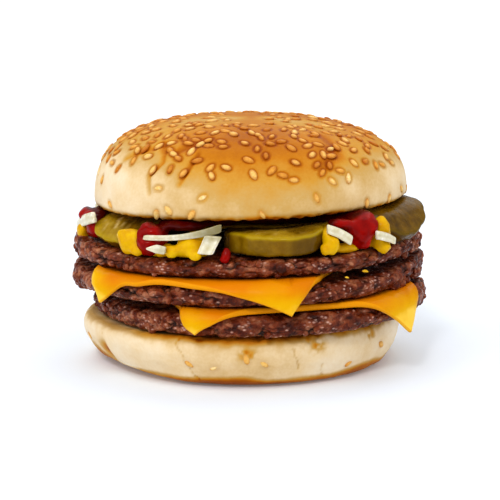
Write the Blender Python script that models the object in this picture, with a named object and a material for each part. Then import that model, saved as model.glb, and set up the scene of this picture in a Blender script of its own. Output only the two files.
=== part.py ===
"""A triple cheeseburger in a sesame bun: two bun halves, three beef patties, two draped cheese slices, pickle
slices, a mustard layer, a ketchup layer and strips of onion.

+Z is up, the served side faces -Y, and +X is to its right. The origin is the middle of the flat underside.
Bearings are in degrees round +Z, counted from +X, so that 270 is the front. Everything above the lower bun half
is laid out level and round its own axis. Then it is sheared by the lean of the stack, and the empty "stack" sets
it to one side.
"""

import math
import random

import bmesh
import bpy
from mathutils import Euler, Matrix, Vector, noise

MM = 0.001
GAP = 0.3 * MM  # clearance between two pieces that touch

# The bun
HEEL_RADIUS = 52.0 * MM
HEEL_HEIGHT = 16.5 * MM
CROWN_RADIUS = 50.7 * MM
CROWN_HEIGHT = 26.3 * MM
STACK_OFFSET = 2.9 * MM  # how far the stack's axis stands towards +X of the lower bun half's
STACK_LEAN = 0.018  # rise of each layer of the stack per metre towards +X
CROWN_LEAN = 0.034  # the same for the crown's cut face
DOME_LEAN = -0.012  # the same for the top of its dome

# The stack above the lower bun half, in the order in which it is laid
PATTY_RADII = (55.4 * MM, 57.6 * MM, 57.3 * MM)
PATTY_THICKNESSES = (7.3 * MM, 6.4 * MM, 5.7 * MM)
PATTY_CENTRES = ((2.6 * MM, 0), (-0.8 * MM, 0), (-0.4 * MM, 0))
PATTY_EDGE = 3.4 * MM  # how far in from the rim the rounding of a patty reaches
PATTY_FLAT = 40 * MM  # the radius outside which a patty's two sides may rise or sink
CHEESE_BULGE = 1.4 * MM  # how far the middle of a slice's side has crept out
CHEESE_THICKNESS = 2.0 * MM
CHEESE_BEND = 3.2 * MM
CHEESE_ROOM = 0.7 * MM  # clearance of a slice from the rim that it hangs over
PICKLE_RADIUS = 17.4 * MM
PICKLE_THICKNESS = 5.2 * MM
MUSTARD_RADIUS = 34 * MM
MUSTARD_THICKNESS = 1.2 * MM
KETCHUP_RADIUS = 37 * MM
KETCHUP_THICKNESS = 2.9 * MM

# Sesame
SEED_COUNT = 116
SEED_LENGTH = 3.7 * MM
SEED_WIDTH = 2.4 * MM
SEED_THICKNESS = 1.2 * MM

# The level at which each layer starts, from the lower bun half upwards
PATTY_BASES = []
CHEESE_BASES = []
level = HEEL_HEIGHT + GAP
for thickness in PATTY_THICKNESSES:
    PATTY_BASES.append(level)
    CHEESE_BASES.append(level + thickness + GAP)
    level += thickness + 2 * GAP + CHEESE_THICKNESS
TOPPING_BASE = CHEESE_BASES[2]
MUSTARD_BASE = TOPPING_BASE + PICKLE_THICKNESS + 2 * GAP
KETCHUP_BASE = MUSTARD_BASE + MUSTARD_THICKNESS + 1.5 * GAP
CROWN_BASE = KETCHUP_BASE + KETCHUP_THICKNESS + 2.5 * GAP


def clear_scene():
    for old in list(bpy.data.objects):
        bpy.data.objects.remove(old)


def material(name, colour, roughness):
    made = bpy.data.materials.new(name)
    made.use_nodes = True
    shader = made.node_tree.nodes["Principled BSDF"]
    shader.inputs["Base Color"].default_value = (*colour, 1)
    shader.inputs["Roughness"].default_value = roughness
    return made


def add_object(name, mesh, finish):
    made = bpy.data.objects.new(name, mesh)
    mesh.materials.clear()
    mesh.materials.append(finish)
    bpy.context.scene.collection.objects.link(made)
    return made


def polar(radius, bearing, z=0.0):
    return Vector((radius * math.cos(bearing), radius * math.sin(bearing), z))


def bearing_off(bearing, centre):
    """How far a bearing in radians is from a bearing in degrees, in degrees from -180 to 180."""
    return (math.degrees(bearing) - centre + 180) % 360 - 180


def swell(bearing, lobes):
    """The sum of soft lobes, each (bearing in degrees, half width in degrees, height)."""
    return sum(height * math.exp(-((bearing_off(bearing, at) / width) ** 2)) for at, width, height in lobes)


def ringed_mesh(name, rings, low_pole, high_pole):
    """A closed mesh through rings of equally many points, from the lowest ring to the highest."""
    count = len(rings[0])
    points = [point for ring in rings for point in ring] + [low_pole, high_pole]
    low, high = len(points) - 2, len(points) - 1
    last = (len(rings) - 1) * count
    faces = []
    for i in range(count):
        j = (i + 1) % count
        faces.append((low, j, i))
        faces.append((high, last + i, last + j))
        for row in range(0, last, count):
            faces.append((row + i, row + j, row + count + j))
            faces.append((row + i, row + count + j, row + count + i))
    mesh = bpy.data.meshes.new(name)
    mesh.from_pydata(points, [], faces)
    mesh.update()
    return mesh


def facing_out(mesh):
    """The mesh with its faces turned to face out."""
    shape = bmesh.new()
    shape.from_mesh(mesh)
    bmesh.ops.recalc_face_normals(shape, faces=shape.faces)
    shape.to_mesh(mesh)
    shape.free()
    return mesh


def combine(obj, others, operation):
    """Joins the others to obj, or cuts them out of it, and removes them."""
    helpers = bpy.data.collections.new("helpers")
    bpy.context.scene.collection.children.link(helpers)
    for other in others:
        bpy.context.scene.collection.objects.unlink(other)
        helpers.objects.link(other)
    step = obj.modifiers.new(operation, "BOOLEAN")
    step.operand_type = "COLLECTION"
    step.collection = helpers
    step.operation = operation
    step.solver = "MANIFOLD"
    graph = bpy.context.evaluated_depsgraph_get()
    mesh = bpy.data.meshes.new_from_object(obj.evaluated_get(graph))
    obj.modifiers.clear()
    obj.data = mesh
    for other in others:
        bpy.data.objects.remove(other)
    bpy.data.collections.remove(helpers)


def tidy_cut(obj):
    """Drops the loose scraps that a cut leaves, and thins the small triangles along it."""
    mesh = bmesh.new()
    mesh.from_mesh(obj.data)
    unseen = set(mesh.verts)
    bodies = []
    while unseen:
        front = [unseen.pop()]
        body = set(front)
        while front:
            for edge in front.pop().link_edges:
                for vertex in edge.verts:
                    if vertex in unseen:
                        unseen.discard(vertex)
                        body.add(vertex)
                        front.append(vertex)
        bodies.append(body)
    bodies.sort(key=len)
    for body in bodies[:-1]:
        bmesh.ops.delete(mesh, geom=list(body), context="VERTS")
    mesh.to_mesh(obj.data)
    mesh.free()
    thinned = obj.modifiers.new("thinned", "DECIMATE")
    thinned.ratio = 0.62


# ---------------------------------------------------------------- bun

HEEL_PROFILE = (  # share of the radius, share of the height
    (0.78, 0.0),
    (0.84, 0.04),
    (0.9, 0.15),
    (0.95, 0.31),
    (0.985, 0.48),
    (1.0, 0.66),
    (0.995, 0.83),
    (0.968, 0.95),
    (0.93, 1.0),
)


def bun_outline(bearing, offset):
    """How much the bun's outline departs from a circle, as a factor near 1."""
    return 1 + 0.007 * math.sin(2 * bearing + 0.6 + offset) + 0.005 * math.sin(3 * bearing + 2.1 * offset)


def build_heel(finish, columns=42):
    rings = []
    for out, up in HEEL_PROFILE:
        ring = []
        for i in range(columns):
            bearing = math.tau * i / columns
            point = polar(HEEL_RADIUS * out * bun_outline(bearing, 0.0), bearing)
            point.z = up * (HEEL_HEIGHT + STACK_LEAN * point.x)
            ring.append(point)
        rings.append(ring)
    mesh = ringed_mesh("bun_bottom", rings, Vector((0, 0, 0)), Vector((0, 0, HEEL_HEIGHT)))
    return add_object("bun_bottom", mesh, finish)


CROWN_WAIST = 0.08  # share of the height at which the crown is widest
CROWN_CUT = 0.96  # share of the radius that the cut face has
WAIST_RISE = 0.16  # share of the rows of the crown that lie below its waist
DOME_SQUARENESS = (0.62, 0.85)  # powers of the cosine and the sine; at 1 and 1 the dome is an ellipse


def crown_floor(x):
    """The height of the crown's cut face in the level layout."""
    return CROWN_BASE + (CROWN_LEAN - STACK_LEAN) * x


def crown_point(bearing, rise):
    """The crown's surface: rise runs from 0 at the cut face's rim to 1 at the top."""
    if rise < WAIST_RISE:
        turn = (rise / WAIST_RISE) * math.pi / 2
        out = CROWN_CUT + (1 - CROWN_CUT) * math.sin(turn)
        up = CROWN_WAIST * (1 - math.cos(turn))
    else:
        turn = (rise - WAIST_RISE) / (1 - WAIST_RISE) * math.pi / 2
        out = max(0.0, math.cos(turn)) ** DOME_SQUARENESS[0]
        up = CROWN_WAIST + (1 - CROWN_WAIST) * math.sin(turn) ** DOME_SQUARENESS[1]
    point = polar(CROWN_RADIUS * out * (1 + (bun_outline(bearing, 1.3) - 1) * out), bearing)
    low = crown_floor(point.x)
    point.z = low + up * (CROWN_BASE + CROWN_HEIGHT + (DOME_LEAN - STACK_LEAN) * point.x - low)
    point.z += 0.8 * MM * noise.noise(point * 42 + Vector((4, 1, 7))) * min(1.0, 3 * up)
    return point


def crown_frame(bearing, rise):
    """A point on the crown with its outward normal."""
    step = 0.004
    here = crown_point(bearing, rise)
    along = crown_point(bearing + step, rise) - crown_point(bearing - step, rise)
    upward = crown_point(bearing, rise + step) - crown_point(bearing, rise - step)
    return here, along.cross(upward).normalized()


def seed_places(rng):
    """Bearings and rises that spread seeds over the crown, thick on top and thin on the flank."""
    found = []
    while len(found) < SEED_COUNT:
        best, best_room = None, -1.0
        for _ in range(7):
            bearing = rng.uniform(0, math.tau)
            rise = 0.97 - 0.86 * rng.random() ** 0.9
            place = crown_point(bearing, rise)
            spread = place.xy.length / CROWN_RADIUS
            if rng.random() > spread * (1 - 0.55 * spread**6):
                continue
            room = min(((place - other).length for other, _, _ in found), default=1.0)
            if room > best_room:
                best, best_room = (place, bearing, rise), room
        if best and best_room > 3.7 * MM:
            found.append(best)
    return [(bearing, rise) for _, bearing, rise in found]


def seed_mesh():
    """A plump teardrop that lies in its own XY plane, its point towards +X."""
    rim = []
    for turn in (0, 50, 110, 180, 250, 310):
        turn = math.radians(turn)
        narrow = 1 - 0.3 * (1 + math.cos(turn)) / 2
        rim.append((math.cos(turn) * SEED_LENGTH / 2, math.sin(turn) * narrow * SEED_WIDTH / 2, 0))
    ridge = [(0.22 * SEED_LENGTH, 0, 0.5 * SEED_THICKNESS), (-0.26 * SEED_LENGTH, 0, 0.62 * SEED_THICKNESS)]
    keel = (0, 0, -SEED_THICKNESS / 2)
    faces = [(0, 1, 6), (1, 2, 7, 6), (2, 3, 7), (3, 4, 7), (4, 5, 6, 7), (5, 0, 6)]
    faces += [((i + 1) % 6, i, 8) for i in range(6)]
    mesh = bpy.data.meshes.new("seed")
    mesh.from_pydata([*rim, *ridge, keel], [], faces)
    return mesh


def build_crown(finish, columns=36, rows=12):
    rings = []
    for row in range(rows):
        rise = 0.97 * row / (rows - 1)
        rings.append([crown_point(math.tau * i / columns, rise) for i in range(columns)])
    mesh = ringed_mesh("bun_top", rings, Vector((0, 0, crown_floor(0))), crown_point(0, 1.0))
    crown = add_object("bun_top", mesh, finish)
    rng = random.Random(7)
    shape = seed_mesh()
    seeds = []
    for bearing, rise in seed_places(rng):
        place, outward = crown_frame(bearing, rise)
        seed = add_object("seed", shape, finish)
        lie = outward.to_track_quat("Z", "Y") @ Euler((0, 0, rng.uniform(0, math.tau))).to_quaternion()
        seed.matrix_world = Matrix.LocRotScale(place - outward * 0.1 * MM, lie, None)
        seeds.append(seed)
    bpy.context.view_layer.update()
    combine(crown, seeds, "UNION")
    return crown


# ---------------------------------------------------------------- patties

PATTY_OUTLINES = (  # lobes of each patty's rim
    ((0, 12, 0.6 * MM), (205, 24, -1.0 * MM), (100, 30, 0.8 * MM), (300, 18, 0.6 * MM)),
    ((182, 12, 0.4 * MM), (2, 12, 1.6 * MM), (240, 25, -0.8 * MM), (120, 22, -1.0 * MM)),
    ((183, 16, 0.8 * MM), (330, 20, -1.0 * MM), (60, 26, 0.9 * MM), (262, 14, -0.6 * MM)),
)
PATTY_TOP_RISES = (  # how far each patty's upper side rises at its rim
    ((185, 30, -1.0 * MM), (80, 40, -0.9 * MM)),
    ((90, 46, -1.2 * MM),),
    ((0, 20, 0.4 * MM), (90, 46, -1.6 * MM)),
)
PATTY_BOTTOM_RISES = (
    (),
    ((180, 18, -2.3 * MM), (80, 40, -0.8 * MM)),
    ((170, 10, -1.0 * MM), (90, 40, -1.1 * MM), (2, 16, 0.8 * MM)),
)
PATTY_BEADS = (  # how far each patty's rim bulges both up and down
    ((2, 14, 0.9 * MM), (225, 18, 0.2 * MM)),
    ((180, 14, 1.3 * MM), (2, 15, 2.0 * MM)),
    ((182, 20, 0.9 * MM), (100, 30, 0.5 * MM)),
)
CRAG_DEPTH = 1.9 * MM
CRAG_SIZE = 7.5 * MM


def patty_outline(which, bearing):
    return PATTY_RADII[which] + swell(bearing, PATTY_OUTLINES[which])


def rim_share(which, radius):
    """0 on a patty's flat middle and 1 at its rim."""
    width = PATTY_RADII[which] - PATTY_EDGE - PATTY_FLAT
    return min(1.0, max(0.0, (radius - PATTY_FLAT) / width))


def patty_top(which, bearing, radius):
    """The height of a patty's upper side."""
    rise = swell(bearing, PATTY_TOP_RISES[which]) * rim_share(which, radius)
    return PATTY_BASES[which] + PATTY_THICKNESSES[which] + rise


def patty_bottom(which, bearing, radius):
    return PATTY_BASES[which] + swell(bearing, PATTY_BOTTOM_RISES[which]) * rim_share(which, radius)


def crag(point):
    """0 on the crest of a crumb of minced meat and up to 1 in the cleft beside it."""
    return min(1.0, noise.voronoi(point / CRAG_SIZE)[0][0] * 1.3)


def build_patty(which, name, finish, grow=0.0, columns=50):
    turns = [math.radians(angle) for angle in (-90, -60, -30, -2, 26, 58, 90)]
    centre = Vector((*PATTY_CENTRES[which], 0))
    rings = [[] for _ in range(len(turns) + 2)]
    for i in range(columns):
        bearing = math.tau * i / columns
        rim = patty_outline(which, bearing)
        bead = swell(bearing, PATTY_BEADS[which])
        for row, turn in enumerate([-math.pi / 2, *turns, math.pi / 2]):
            radius = rim - PATTY_EDGE * (1 - math.cos(turn))
            if row in (0, len(turns) + 1):
                radius = PATTY_FLAT
            low, high = patty_bottom(which, bearing, radius), patty_top(which, bearing, radius)
            share = (1 + math.sin(turn)) / 2
            point = centre + polar(radius, bearing, low + (high - low) * share + bead * math.sin(2 * turn))
            outward = polar(math.cos(turn), bearing, math.sin(turn))
            if grow:
                point += outward * grow
            else:
                point -= outward * CRAG_DEPTH * math.cos(turn) * crag(point)
            rings[row].append(point)
    low = centre + Vector((0, 0, patty_bottom(which, 0, 0) - grow))
    high = centre + Vector((0, 0, patty_top(which, 0, 0) + grow))
    return add_object(name, ringed_mesh(name, rings, low, high), finish)


# ---------------------------------------------------------------- cheese

# Name, which patty it lies on, its side, where its middle is, the way one side faces, how steeply it hangs
SLICES = (
    ("cheese_lower", 0, 74 * MM, (9.2 * MM, -11.2 * MM), 284.4, 74),
    ("cheese_upper", 1, 67 * MM, (-6.7 * MM, -20.9 * MM), 250.3, 74),
)


def bent(reach, bend, hang):
    """Where a sheet is that lies flat and then bends over an edge, at a distance past the start of the bend:
    how far out, how far down and how steep."""
    if reach <= 0:
        return reach, 0.0, 0.0
    turn = min(reach / bend, hang)
    rest = reach - turn * bend
    out = bend * math.sin(turn) + rest * math.cos(turn)
    down = bend * (1 - math.cos(turn)) + rest * math.sin(turn)
    return out, down, turn


def square_reach(side, middle, facing, origin, bearing):
    """How far the edge of a square slice is from a point inside it, along a bearing."""
    along = polar(1, bearing).xy
    reaches = []
    for quarter in range(4):
        normal = polar(1, math.radians(facing + 90 * quarter)).xy
        leaning = normal.dot(along)
        if leaning > 0.05:
            reach = (side / 2 - normal.dot(origin - middle)) / leaning
            share = normal.orthogonal().dot(origin + along * reach - middle) / (side / 2)
            reaches.append((reach, CHEESE_BULGE * (1 - min(1.0, share**2)) / leaning))
    return sum(min(reaches))


def cheese_bearings(corners):
    """Bearings round a slice: close together over the rim that it hangs over, and one on each corner."""
    bearings = [*range(0, 180, 30), *range(180, 360, 9)]
    bearings = [angle for angle in bearings if min(abs(bearing_off(c, angle)) for c in corners) > 3]
    bearings += [math.degrees(corner) % 360 for corner in corners]
    return [math.radians(angle) for angle in sorted(bearings)]


def build_cheese(name, which, side, middle, facing, hang, finish):
    """A square slice that is draped from the middle of the patty below it over that patty's rim."""
    centre, middle = Vector(PATTY_CENTRES[which]), Vector(middle)
    hang = math.radians(hang)
    corners = []
    for quarter in range(4):
        corner = middle + polar(side / math.sqrt(2), math.radians(facing + 45 + 90 * quarter)).xy - centre
        corners.append(math.atan2(corner.y, corner.x))
    bends = (0.0, CHEESE_BEND * hang * 0.45, CHEESE_BEND * hang)
    faces = ([], [])
    for bearing in cheese_bearings(corners):
        edge = square_reach(side, middle, facing, centre, bearing)
        nearby = (bearing + math.radians(step) for step in (-4, 0, 4))
        start = max(patty_outline(which, near) for near in nearby) + CHEESE_ROOM - CHEESE_BEND
        reaches = [PATTY_FLAT - 6 * MM, *(start + bend for bend in bends), edge]
        reaches = [min(reach, edge - 0.4 * MM * (4 - step)) for step, reach in enumerate(reaches)]
        columns = ([], [])
        for reach in reaches:
            out, down, turn = bent(reach - start, CHEESE_BEND, hang)
            radius = start + out
            height = patty_top(which, bearing, min(radius, start)) + GAP - down
            under = Vector((*centre, 0)) + polar(radius, bearing, height)
            columns[0].append(under)
            columns[1].append(under + polar(math.sin(turn), bearing, math.cos(turn)) * CHEESE_THICKNESS)
        tip = columns[0][-1].lerp(columns[1][-1], 0.5)
        columns[0].append(tip + polar(math.cos(turn), bearing, -math.sin(turn)) * 0.35 * CHEESE_THICKNESS)
        for face, column in zip(faces, columns):
            face.append(column)
    under_rings, over_rings = (list(map(list, zip(*face))) for face in faces)
    pole = Vector((*centre, patty_top(which, 0, 0) + GAP))
    mesh = ringed_mesh(name, under_rings + over_rings[::-1], pole, pole + Vector((0, 0, CHEESE_THICKNESS)))
    return add_object(name, facing_out(mesh), finish)


# ---------------------------------------------------------------- toppings

# Name, bearing and distance of its middle, height above the patty, way it leans, where it bends and how far
PICKLES = (
    ("pickle_left", 206, 34.0, 4.4, 230, 6.6, 54),
    ("pickle_front", 284, 37.4, 0.1, 280, 10.5, 34),
    ("pickle_right", 337, 41.0, 5.4, 316, 5.4, 52),
    ("pickle_back_right", 48, 35.5, 0.1, 48, 14.0, 10),
    ("pickle_back_left", 128, 35.5, 0.1, 128, 14.0, 10),
)
PICKLE_BEND = 8 * MM
PICKLE_PROFILE = ((0.55, 0.0), (0.93, 0.0), (1.0, 0.22), (1.0, 0.78), (0.93, 1.0), (0.55, 0.97))


def build_pickle(name, bearing, distance, rise, leaning, bend_start, steepness, finish, grow=0.0, columns=14):
    """A round slice that lies flat and then bends down on one side. Its rind is a soft polygon."""
    bearing, leaning, steepness = (math.radians(angle) for angle in (bearing, leaning, steepness))
    forward, sideways = polar(1, leaning), polar(1, leaning + math.pi / 2)
    middle = polar(distance * MM, bearing, TOPPING_BASE + rise * MM)

    def laid(along, across, up, share):
        out, down, slope = bent(along - bend_start * MM, PICKLE_BEND, steepness)
        place = middle + forward * (bend_start * MM + out) + sideways * across - Vector((0, 0, down))
        normal = forward * math.sin(slope) + Vector((0, 0, math.cos(slope)))
        tangent = forward * math.cos(slope) - Vector((0, 0, math.sin(slope)))
        place += normal * (up * PICKLE_THICKNESS + (2 * up - 1) * grow)
        rimward = (tangent * along + sideways * across).normalized()
        return place + rimward * grow * share

    rings = []
    for share, up in PICKLE_PROFILE:
        ring = []
        for i in range(columns):
            turn = math.tau * i / columns
            radius = PICKLE_RADIUS * (1 + 0.022 * math.cos(5 * turn + bearing)) * share
            ring.append(laid(radius * math.cos(turn), radius * math.sin(turn), up, share))
        rings.append(ring)
    low, high = laid(0, 0, 0.0, 0.0), laid(0, 0, 0.97, 0.0)
    return add_object(name, ringed_mesh(name, rings, low, high), finish)


ONIONS = (  # name, start and end as (bearing, distance, height above the patty), width, thickness, bow
    ("onion_far_left", (186, 56.0, 2.6), (199, 54.2, 7.6), 3.0, 1.8, 0.3),
    ("onion_strip", (234, 57.0, 5.6), (260, 52.2, 9.0), 2.4, 1.6, 0.6),
    ("onion_in_ketchup", (237.5, 58.2, 3.0), (244, 58.2, 2.8), 2.8, 1.6, 0.2),
    ("onion_block", (256, 55.6, 2.6), (260.5, 53.6, 6.2), 4.4, 1.8, 0.2),
    ("onion_right", (295, 55.4, 8.2), (303, 56.6, 4.0), 3.0, 1.9, 0.4),
    ("onion_far_right", (311.5, 58.4, 5.0), (320, 58.4, 2.0), 2.8, 1.8, 0.3),
    ("onion_back_right", (2, 53.8, 6.4), (16, 55.0, 2.4), 3.2, 1.9, 0.6),
    ("onion_back", (80, 54.6, 4.4), (98, 54.2, 5.8), 3.0, 1.8, 1.0),
    ("onion_back_left", (152, 55.2, 2.2), (164, 53.6, 6.2), 3.4, 1.9, 0.5),
)


def build_onion(name, start, end, width, thickness, bow, finish, grow=0.0, steps=4):
    """A bowed strip with a rectangular section, its broad side facing out from the burger."""
    rings = []
    for i in range(steps + 1):
        t = i / steps
        bearing, distance, rise = (a + (b - a) * t for a, b in zip(start, end))
        bearing = math.radians(bearing)
        rise = rise + bow * math.sin(math.pi * t)
        place = polar(distance * MM, bearing, TOPPING_BASE + rise * MM)
        forward = polar(distance * math.radians(end[0] - start[0]), bearing + math.pi / 2, end[2] - start[2])
        forward.normalize()
        out = polar(1, bearing)
        broad = forward.cross(out).normalized()
        place += forward * grow * (2 * t - 1)
        half = (width * (1 - 0.25 * abs(2 * t - 1) ** 3) * MM / 2 + grow, thickness * MM / 2 + grow)
        corners = ((-1, -1), (1, -1), (1, 1), (-1, 1))
        rings.append([place + broad * a * half[0] + out * b * half[1] for a, b in corners])
    ends = [sum(ring, Vector()) / 4 for ring in (rings[0], rings[-1])]
    return add_object(name, facing_out(ringed_mesh(name, rings, *ends)), finish)


MUSTARD_DROPS = (  # bearing, distance, height above the patty, half sizes: out, round, up
    (228, 54.2, 3.2, 3.4, 4.4, 4.6),
    (238, 51.0, 1.3, 3.0, 13.0, 2.2),
    (250, 49.0, 3.0, 7.6, 5.6, 4.4),
    (250, 39.0, 6.0, 12.0, 3.4, 1.6),
    (297, 52.0, 3.6, 5.4, 2.9, 5.2),
    (299, 40.0, 6.4, 14.0, 3.0, 1.4),
    (307, 50.5, 0.9, 2.6, 11.5, 1.8),
    (317.5, 55.0, 3.6, 4.0, 3.6, 6.6),
    (194, 54.4, 1.4, 2.8, 6.0, 1.9),
    (180, 44.0, 4.4, 12.0, 4.0, 3.2),
    (88, 50.0, 3.4, 5.0, 7.0, 4.2),
    (88, 41.0, 6.0, 13.0, 4.0, 1.6),
    (9, 50.0, 3.8, 5.6, 6.2, 4.8),
    (9, 41.0, 6.0, 13.0, 4.0, 1.6),
)
KETCHUP_DROPS = (
    (235, 52.0, 4.4, 5.6, 5.2, 5.8),
    (243, 42.0, 8.9, 11.0, 9.0, 2.2),
    (311, 50.6, 5.8, 7.4, 7.8, 6.2),
    (310, 42.0, 9.0, 10.0, 7.0, 2.2),
    (196, 50.0, 8.0, 6.0, 5.4, 2.8),
    (188, 42.0, 8.6, 9.0, 5.0, 2.4),
    (74, 49.0, 7.6, 6.0, 6.4, 3.0),
    (78, 42.0, 8.9, 10.0, 5.0, 2.2),
    (157, 50.4, 4.6, 5.0, 6.0, 5.0),
    (157, 42.0, 8.8, 11.0, 5.0, 2.2),
)


def sauce_disc(name, base, top, radius, finish, grow=0.0, columns=28):
    """A layer right across the burger between two heights, each a function of x."""
    rings = []
    for share, up in ((0.95, 0.0), (1.0, 0.5), (0.95, 1.0)):
        ring = []
        for i in range(columns):
            bearing = math.tau * i / columns
            wave = 1 + 0.03 * math.sin(5 * bearing + radius * 400) + 0.02 * math.sin(9 * bearing)
            point = polar((radius * wave + grow) * share, bearing)
            point.z = (base(point.x) - grow) * (1 - up) + (top(point.x) + grow) * up
            ring.append(point)
        rings.append(ring)
    low, high = Vector((0, 0, base(0) - grow)), Vector((0, 0, top(0) + grow))
    return add_object(name, ringed_mesh(name, rings, low, high), finish)


def sauce_drops(drops, finish, grow=0.0):
    made = []
    for bearing, distance, rise, *halves in drops:
        ball = bmesh.new()
        bmesh.ops.create_icosphere(ball, subdivisions=2, radius=1.0)
        mesh = bpy.data.meshes.new("drop")
        ball.to_mesh(mesh)
        ball.free()
        place = polar(distance * MM, math.radians(bearing), TOPPING_BASE + rise * MM)
        lie = Euler((0, 0, math.radians(bearing))).to_quaternion()
        mesh.transform(Matrix.LocRotScale(place, lie, Vector([half * MM + grow for half in halves])))
        made.append(add_object("drop", mesh, finish))
    return made


def ceiling(radius, floor, finish, columns=48):
    """The space above a sloping face, out to a radius, as a cutter."""
    rings = []
    for height in (0.0, 20 * MM):
        ring = [polar(radius, math.tau * i / columns) for i in range(columns)]
        for point in ring:
            point.z = floor(point.x) + height
        rings.append(ring)
    mesh = ringed_mesh("ceiling", rings, Vector((0, 0, floor(0))), Vector((0, 0, floor(0) + 20 * MM)))
    return add_object("ceiling", mesh, finish)


def build_sauces(mustard, ketchup):
    """The mustard layer and the ketchup layer over it, each cut back from all that it lies against."""

    def firm(finish):
        made = [build_patty(2, "cutter", finish, grow=GAP)]
        made += [build_pickle(*row, finish, grow=GAP) for row in PICKLES]
        made += [build_onion(*row, finish, grow=GAP) for row in ONIONS]
        made.append(ceiling(CROWN_RADIUS, lambda x: crown_floor(x) - GAP, finish))
        return made

    def mustard_base(_):
        return MUSTARD_BASE

    def mustard_top(_):
        return MUSTARD_BASE + MUSTARD_THICKNESS

    def ketchup_base(_):
        return KETCHUP_BASE

    def ketchup_top(x):
        return crown_floor(x) - 1.5 * GAP

    yellow = sauce_disc("mustard", mustard_base, mustard_top, MUSTARD_RADIUS, mustard)
    combine(yellow, sauce_drops(MUSTARD_DROPS, mustard), "UNION")
    above = ceiling(KETCHUP_RADIUS * 1.07, lambda x: mustard_top(x) + GAP / 3, mustard)
    combine(yellow, [*firm(mustard), above], "DIFFERENCE")
    tidy_cut(yellow)
    red = sauce_disc("ketchup", ketchup_base, ketchup_top, KETCHUP_RADIUS, ketchup)
    combine(red, sauce_drops(KETCHUP_DROPS, ketchup), "UNION")
    below = [sauce_disc("cutter", mustard_base, mustard_top, MUSTARD_RADIUS, ketchup, grow=GAP)]
    below += sauce_drops(MUSTARD_DROPS, ketchup, grow=GAP)
    combine(red, [*firm(ketchup), *below], "DIFFERENCE")
    tidy_cut(red)
    return [yellow, red]


def main():
    clear_scene()
    bread = material("bread", (0.72, 0.42, 0.15), 0.5)
    beef = material("beef", (0.13, 0.055, 0.035), 0.5)
    cheese = material("cheese", (0.9, 0.42, 0.02), 0.35)
    pickle = material("pickle", (0.22, 0.2, 0.02), 0.3)
    mustard = material("mustard", (0.85, 0.5, 0.01), 0.3)
    ketchup = material("ketchup", (0.38, 0.01, 0.005), 0.2)
    onion = material("onion", (0.8, 0.78, 0.6), 0.3)

    heel = build_heel(bread)
    stacked = [build_crown(bread)]
    for which, name in enumerate(("patty_bottom", "patty_middle", "patty_top")):
        stacked.append(build_patty(which, name, beef))
    for row in SLICES:
        slice_ = build_cheese(*row, cheese)
        combine(slice_, [build_patty(row[1], "cutter", cheese, grow=0.8 * GAP)], "DIFFERENCE")
        stacked.append(slice_)
    for row in PICKLES:
        slice_ = build_pickle(*row, pickle)
        combine(slice_, [build_patty(2, "cutter", pickle, grow=GAP)], "DIFFERENCE")
        stacked.append(slice_)
    stacked += [build_onion(*row, onion) for row in ONIONS]
    stacked += build_sauces(mustard, ketchup)

    lean = Matrix.Identity(4)
    lean[2][0] = STACK_LEAN
    offset = bpy.data.objects.new("stack", None)
    offset.location.x = STACK_OFFSET
    bpy.context.scene.collection.objects.link(offset)
    for piece in stacked:
        piece.data.transform(lean)
        piece.parent = offset
    for piece in [heel, *stacked]:
        piece.data.shade_smooth()
        piece.data.set_sharp_from_angle(angle=math.radians(48))


main()
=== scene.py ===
import itertools
import math
import random

import bmesh
import bpy
import numpy as np
from mathutils import Matrix, Vector, noise


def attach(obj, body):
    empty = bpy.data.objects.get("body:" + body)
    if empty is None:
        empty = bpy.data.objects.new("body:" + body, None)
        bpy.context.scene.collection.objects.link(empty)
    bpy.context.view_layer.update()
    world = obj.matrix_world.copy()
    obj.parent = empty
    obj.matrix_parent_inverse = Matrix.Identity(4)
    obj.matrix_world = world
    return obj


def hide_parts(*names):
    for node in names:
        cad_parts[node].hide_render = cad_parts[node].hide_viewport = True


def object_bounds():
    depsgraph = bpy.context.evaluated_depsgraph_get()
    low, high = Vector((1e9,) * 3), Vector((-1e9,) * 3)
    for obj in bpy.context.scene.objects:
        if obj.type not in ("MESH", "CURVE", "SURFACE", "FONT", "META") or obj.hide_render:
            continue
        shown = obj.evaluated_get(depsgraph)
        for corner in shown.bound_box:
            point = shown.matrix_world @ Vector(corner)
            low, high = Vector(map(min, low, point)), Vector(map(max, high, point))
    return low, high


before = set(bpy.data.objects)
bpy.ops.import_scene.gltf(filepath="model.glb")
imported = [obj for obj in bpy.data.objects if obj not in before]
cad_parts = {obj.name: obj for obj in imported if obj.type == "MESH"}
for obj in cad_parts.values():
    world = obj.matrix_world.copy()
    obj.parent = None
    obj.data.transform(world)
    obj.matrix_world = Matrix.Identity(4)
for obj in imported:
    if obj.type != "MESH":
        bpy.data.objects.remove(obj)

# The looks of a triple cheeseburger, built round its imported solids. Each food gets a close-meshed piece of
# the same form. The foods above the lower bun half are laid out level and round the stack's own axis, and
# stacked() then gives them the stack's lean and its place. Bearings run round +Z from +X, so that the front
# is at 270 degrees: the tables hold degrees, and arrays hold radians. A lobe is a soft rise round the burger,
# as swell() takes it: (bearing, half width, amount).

MM = 0.001
CAD_LOW, CAD_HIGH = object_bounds()

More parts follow.
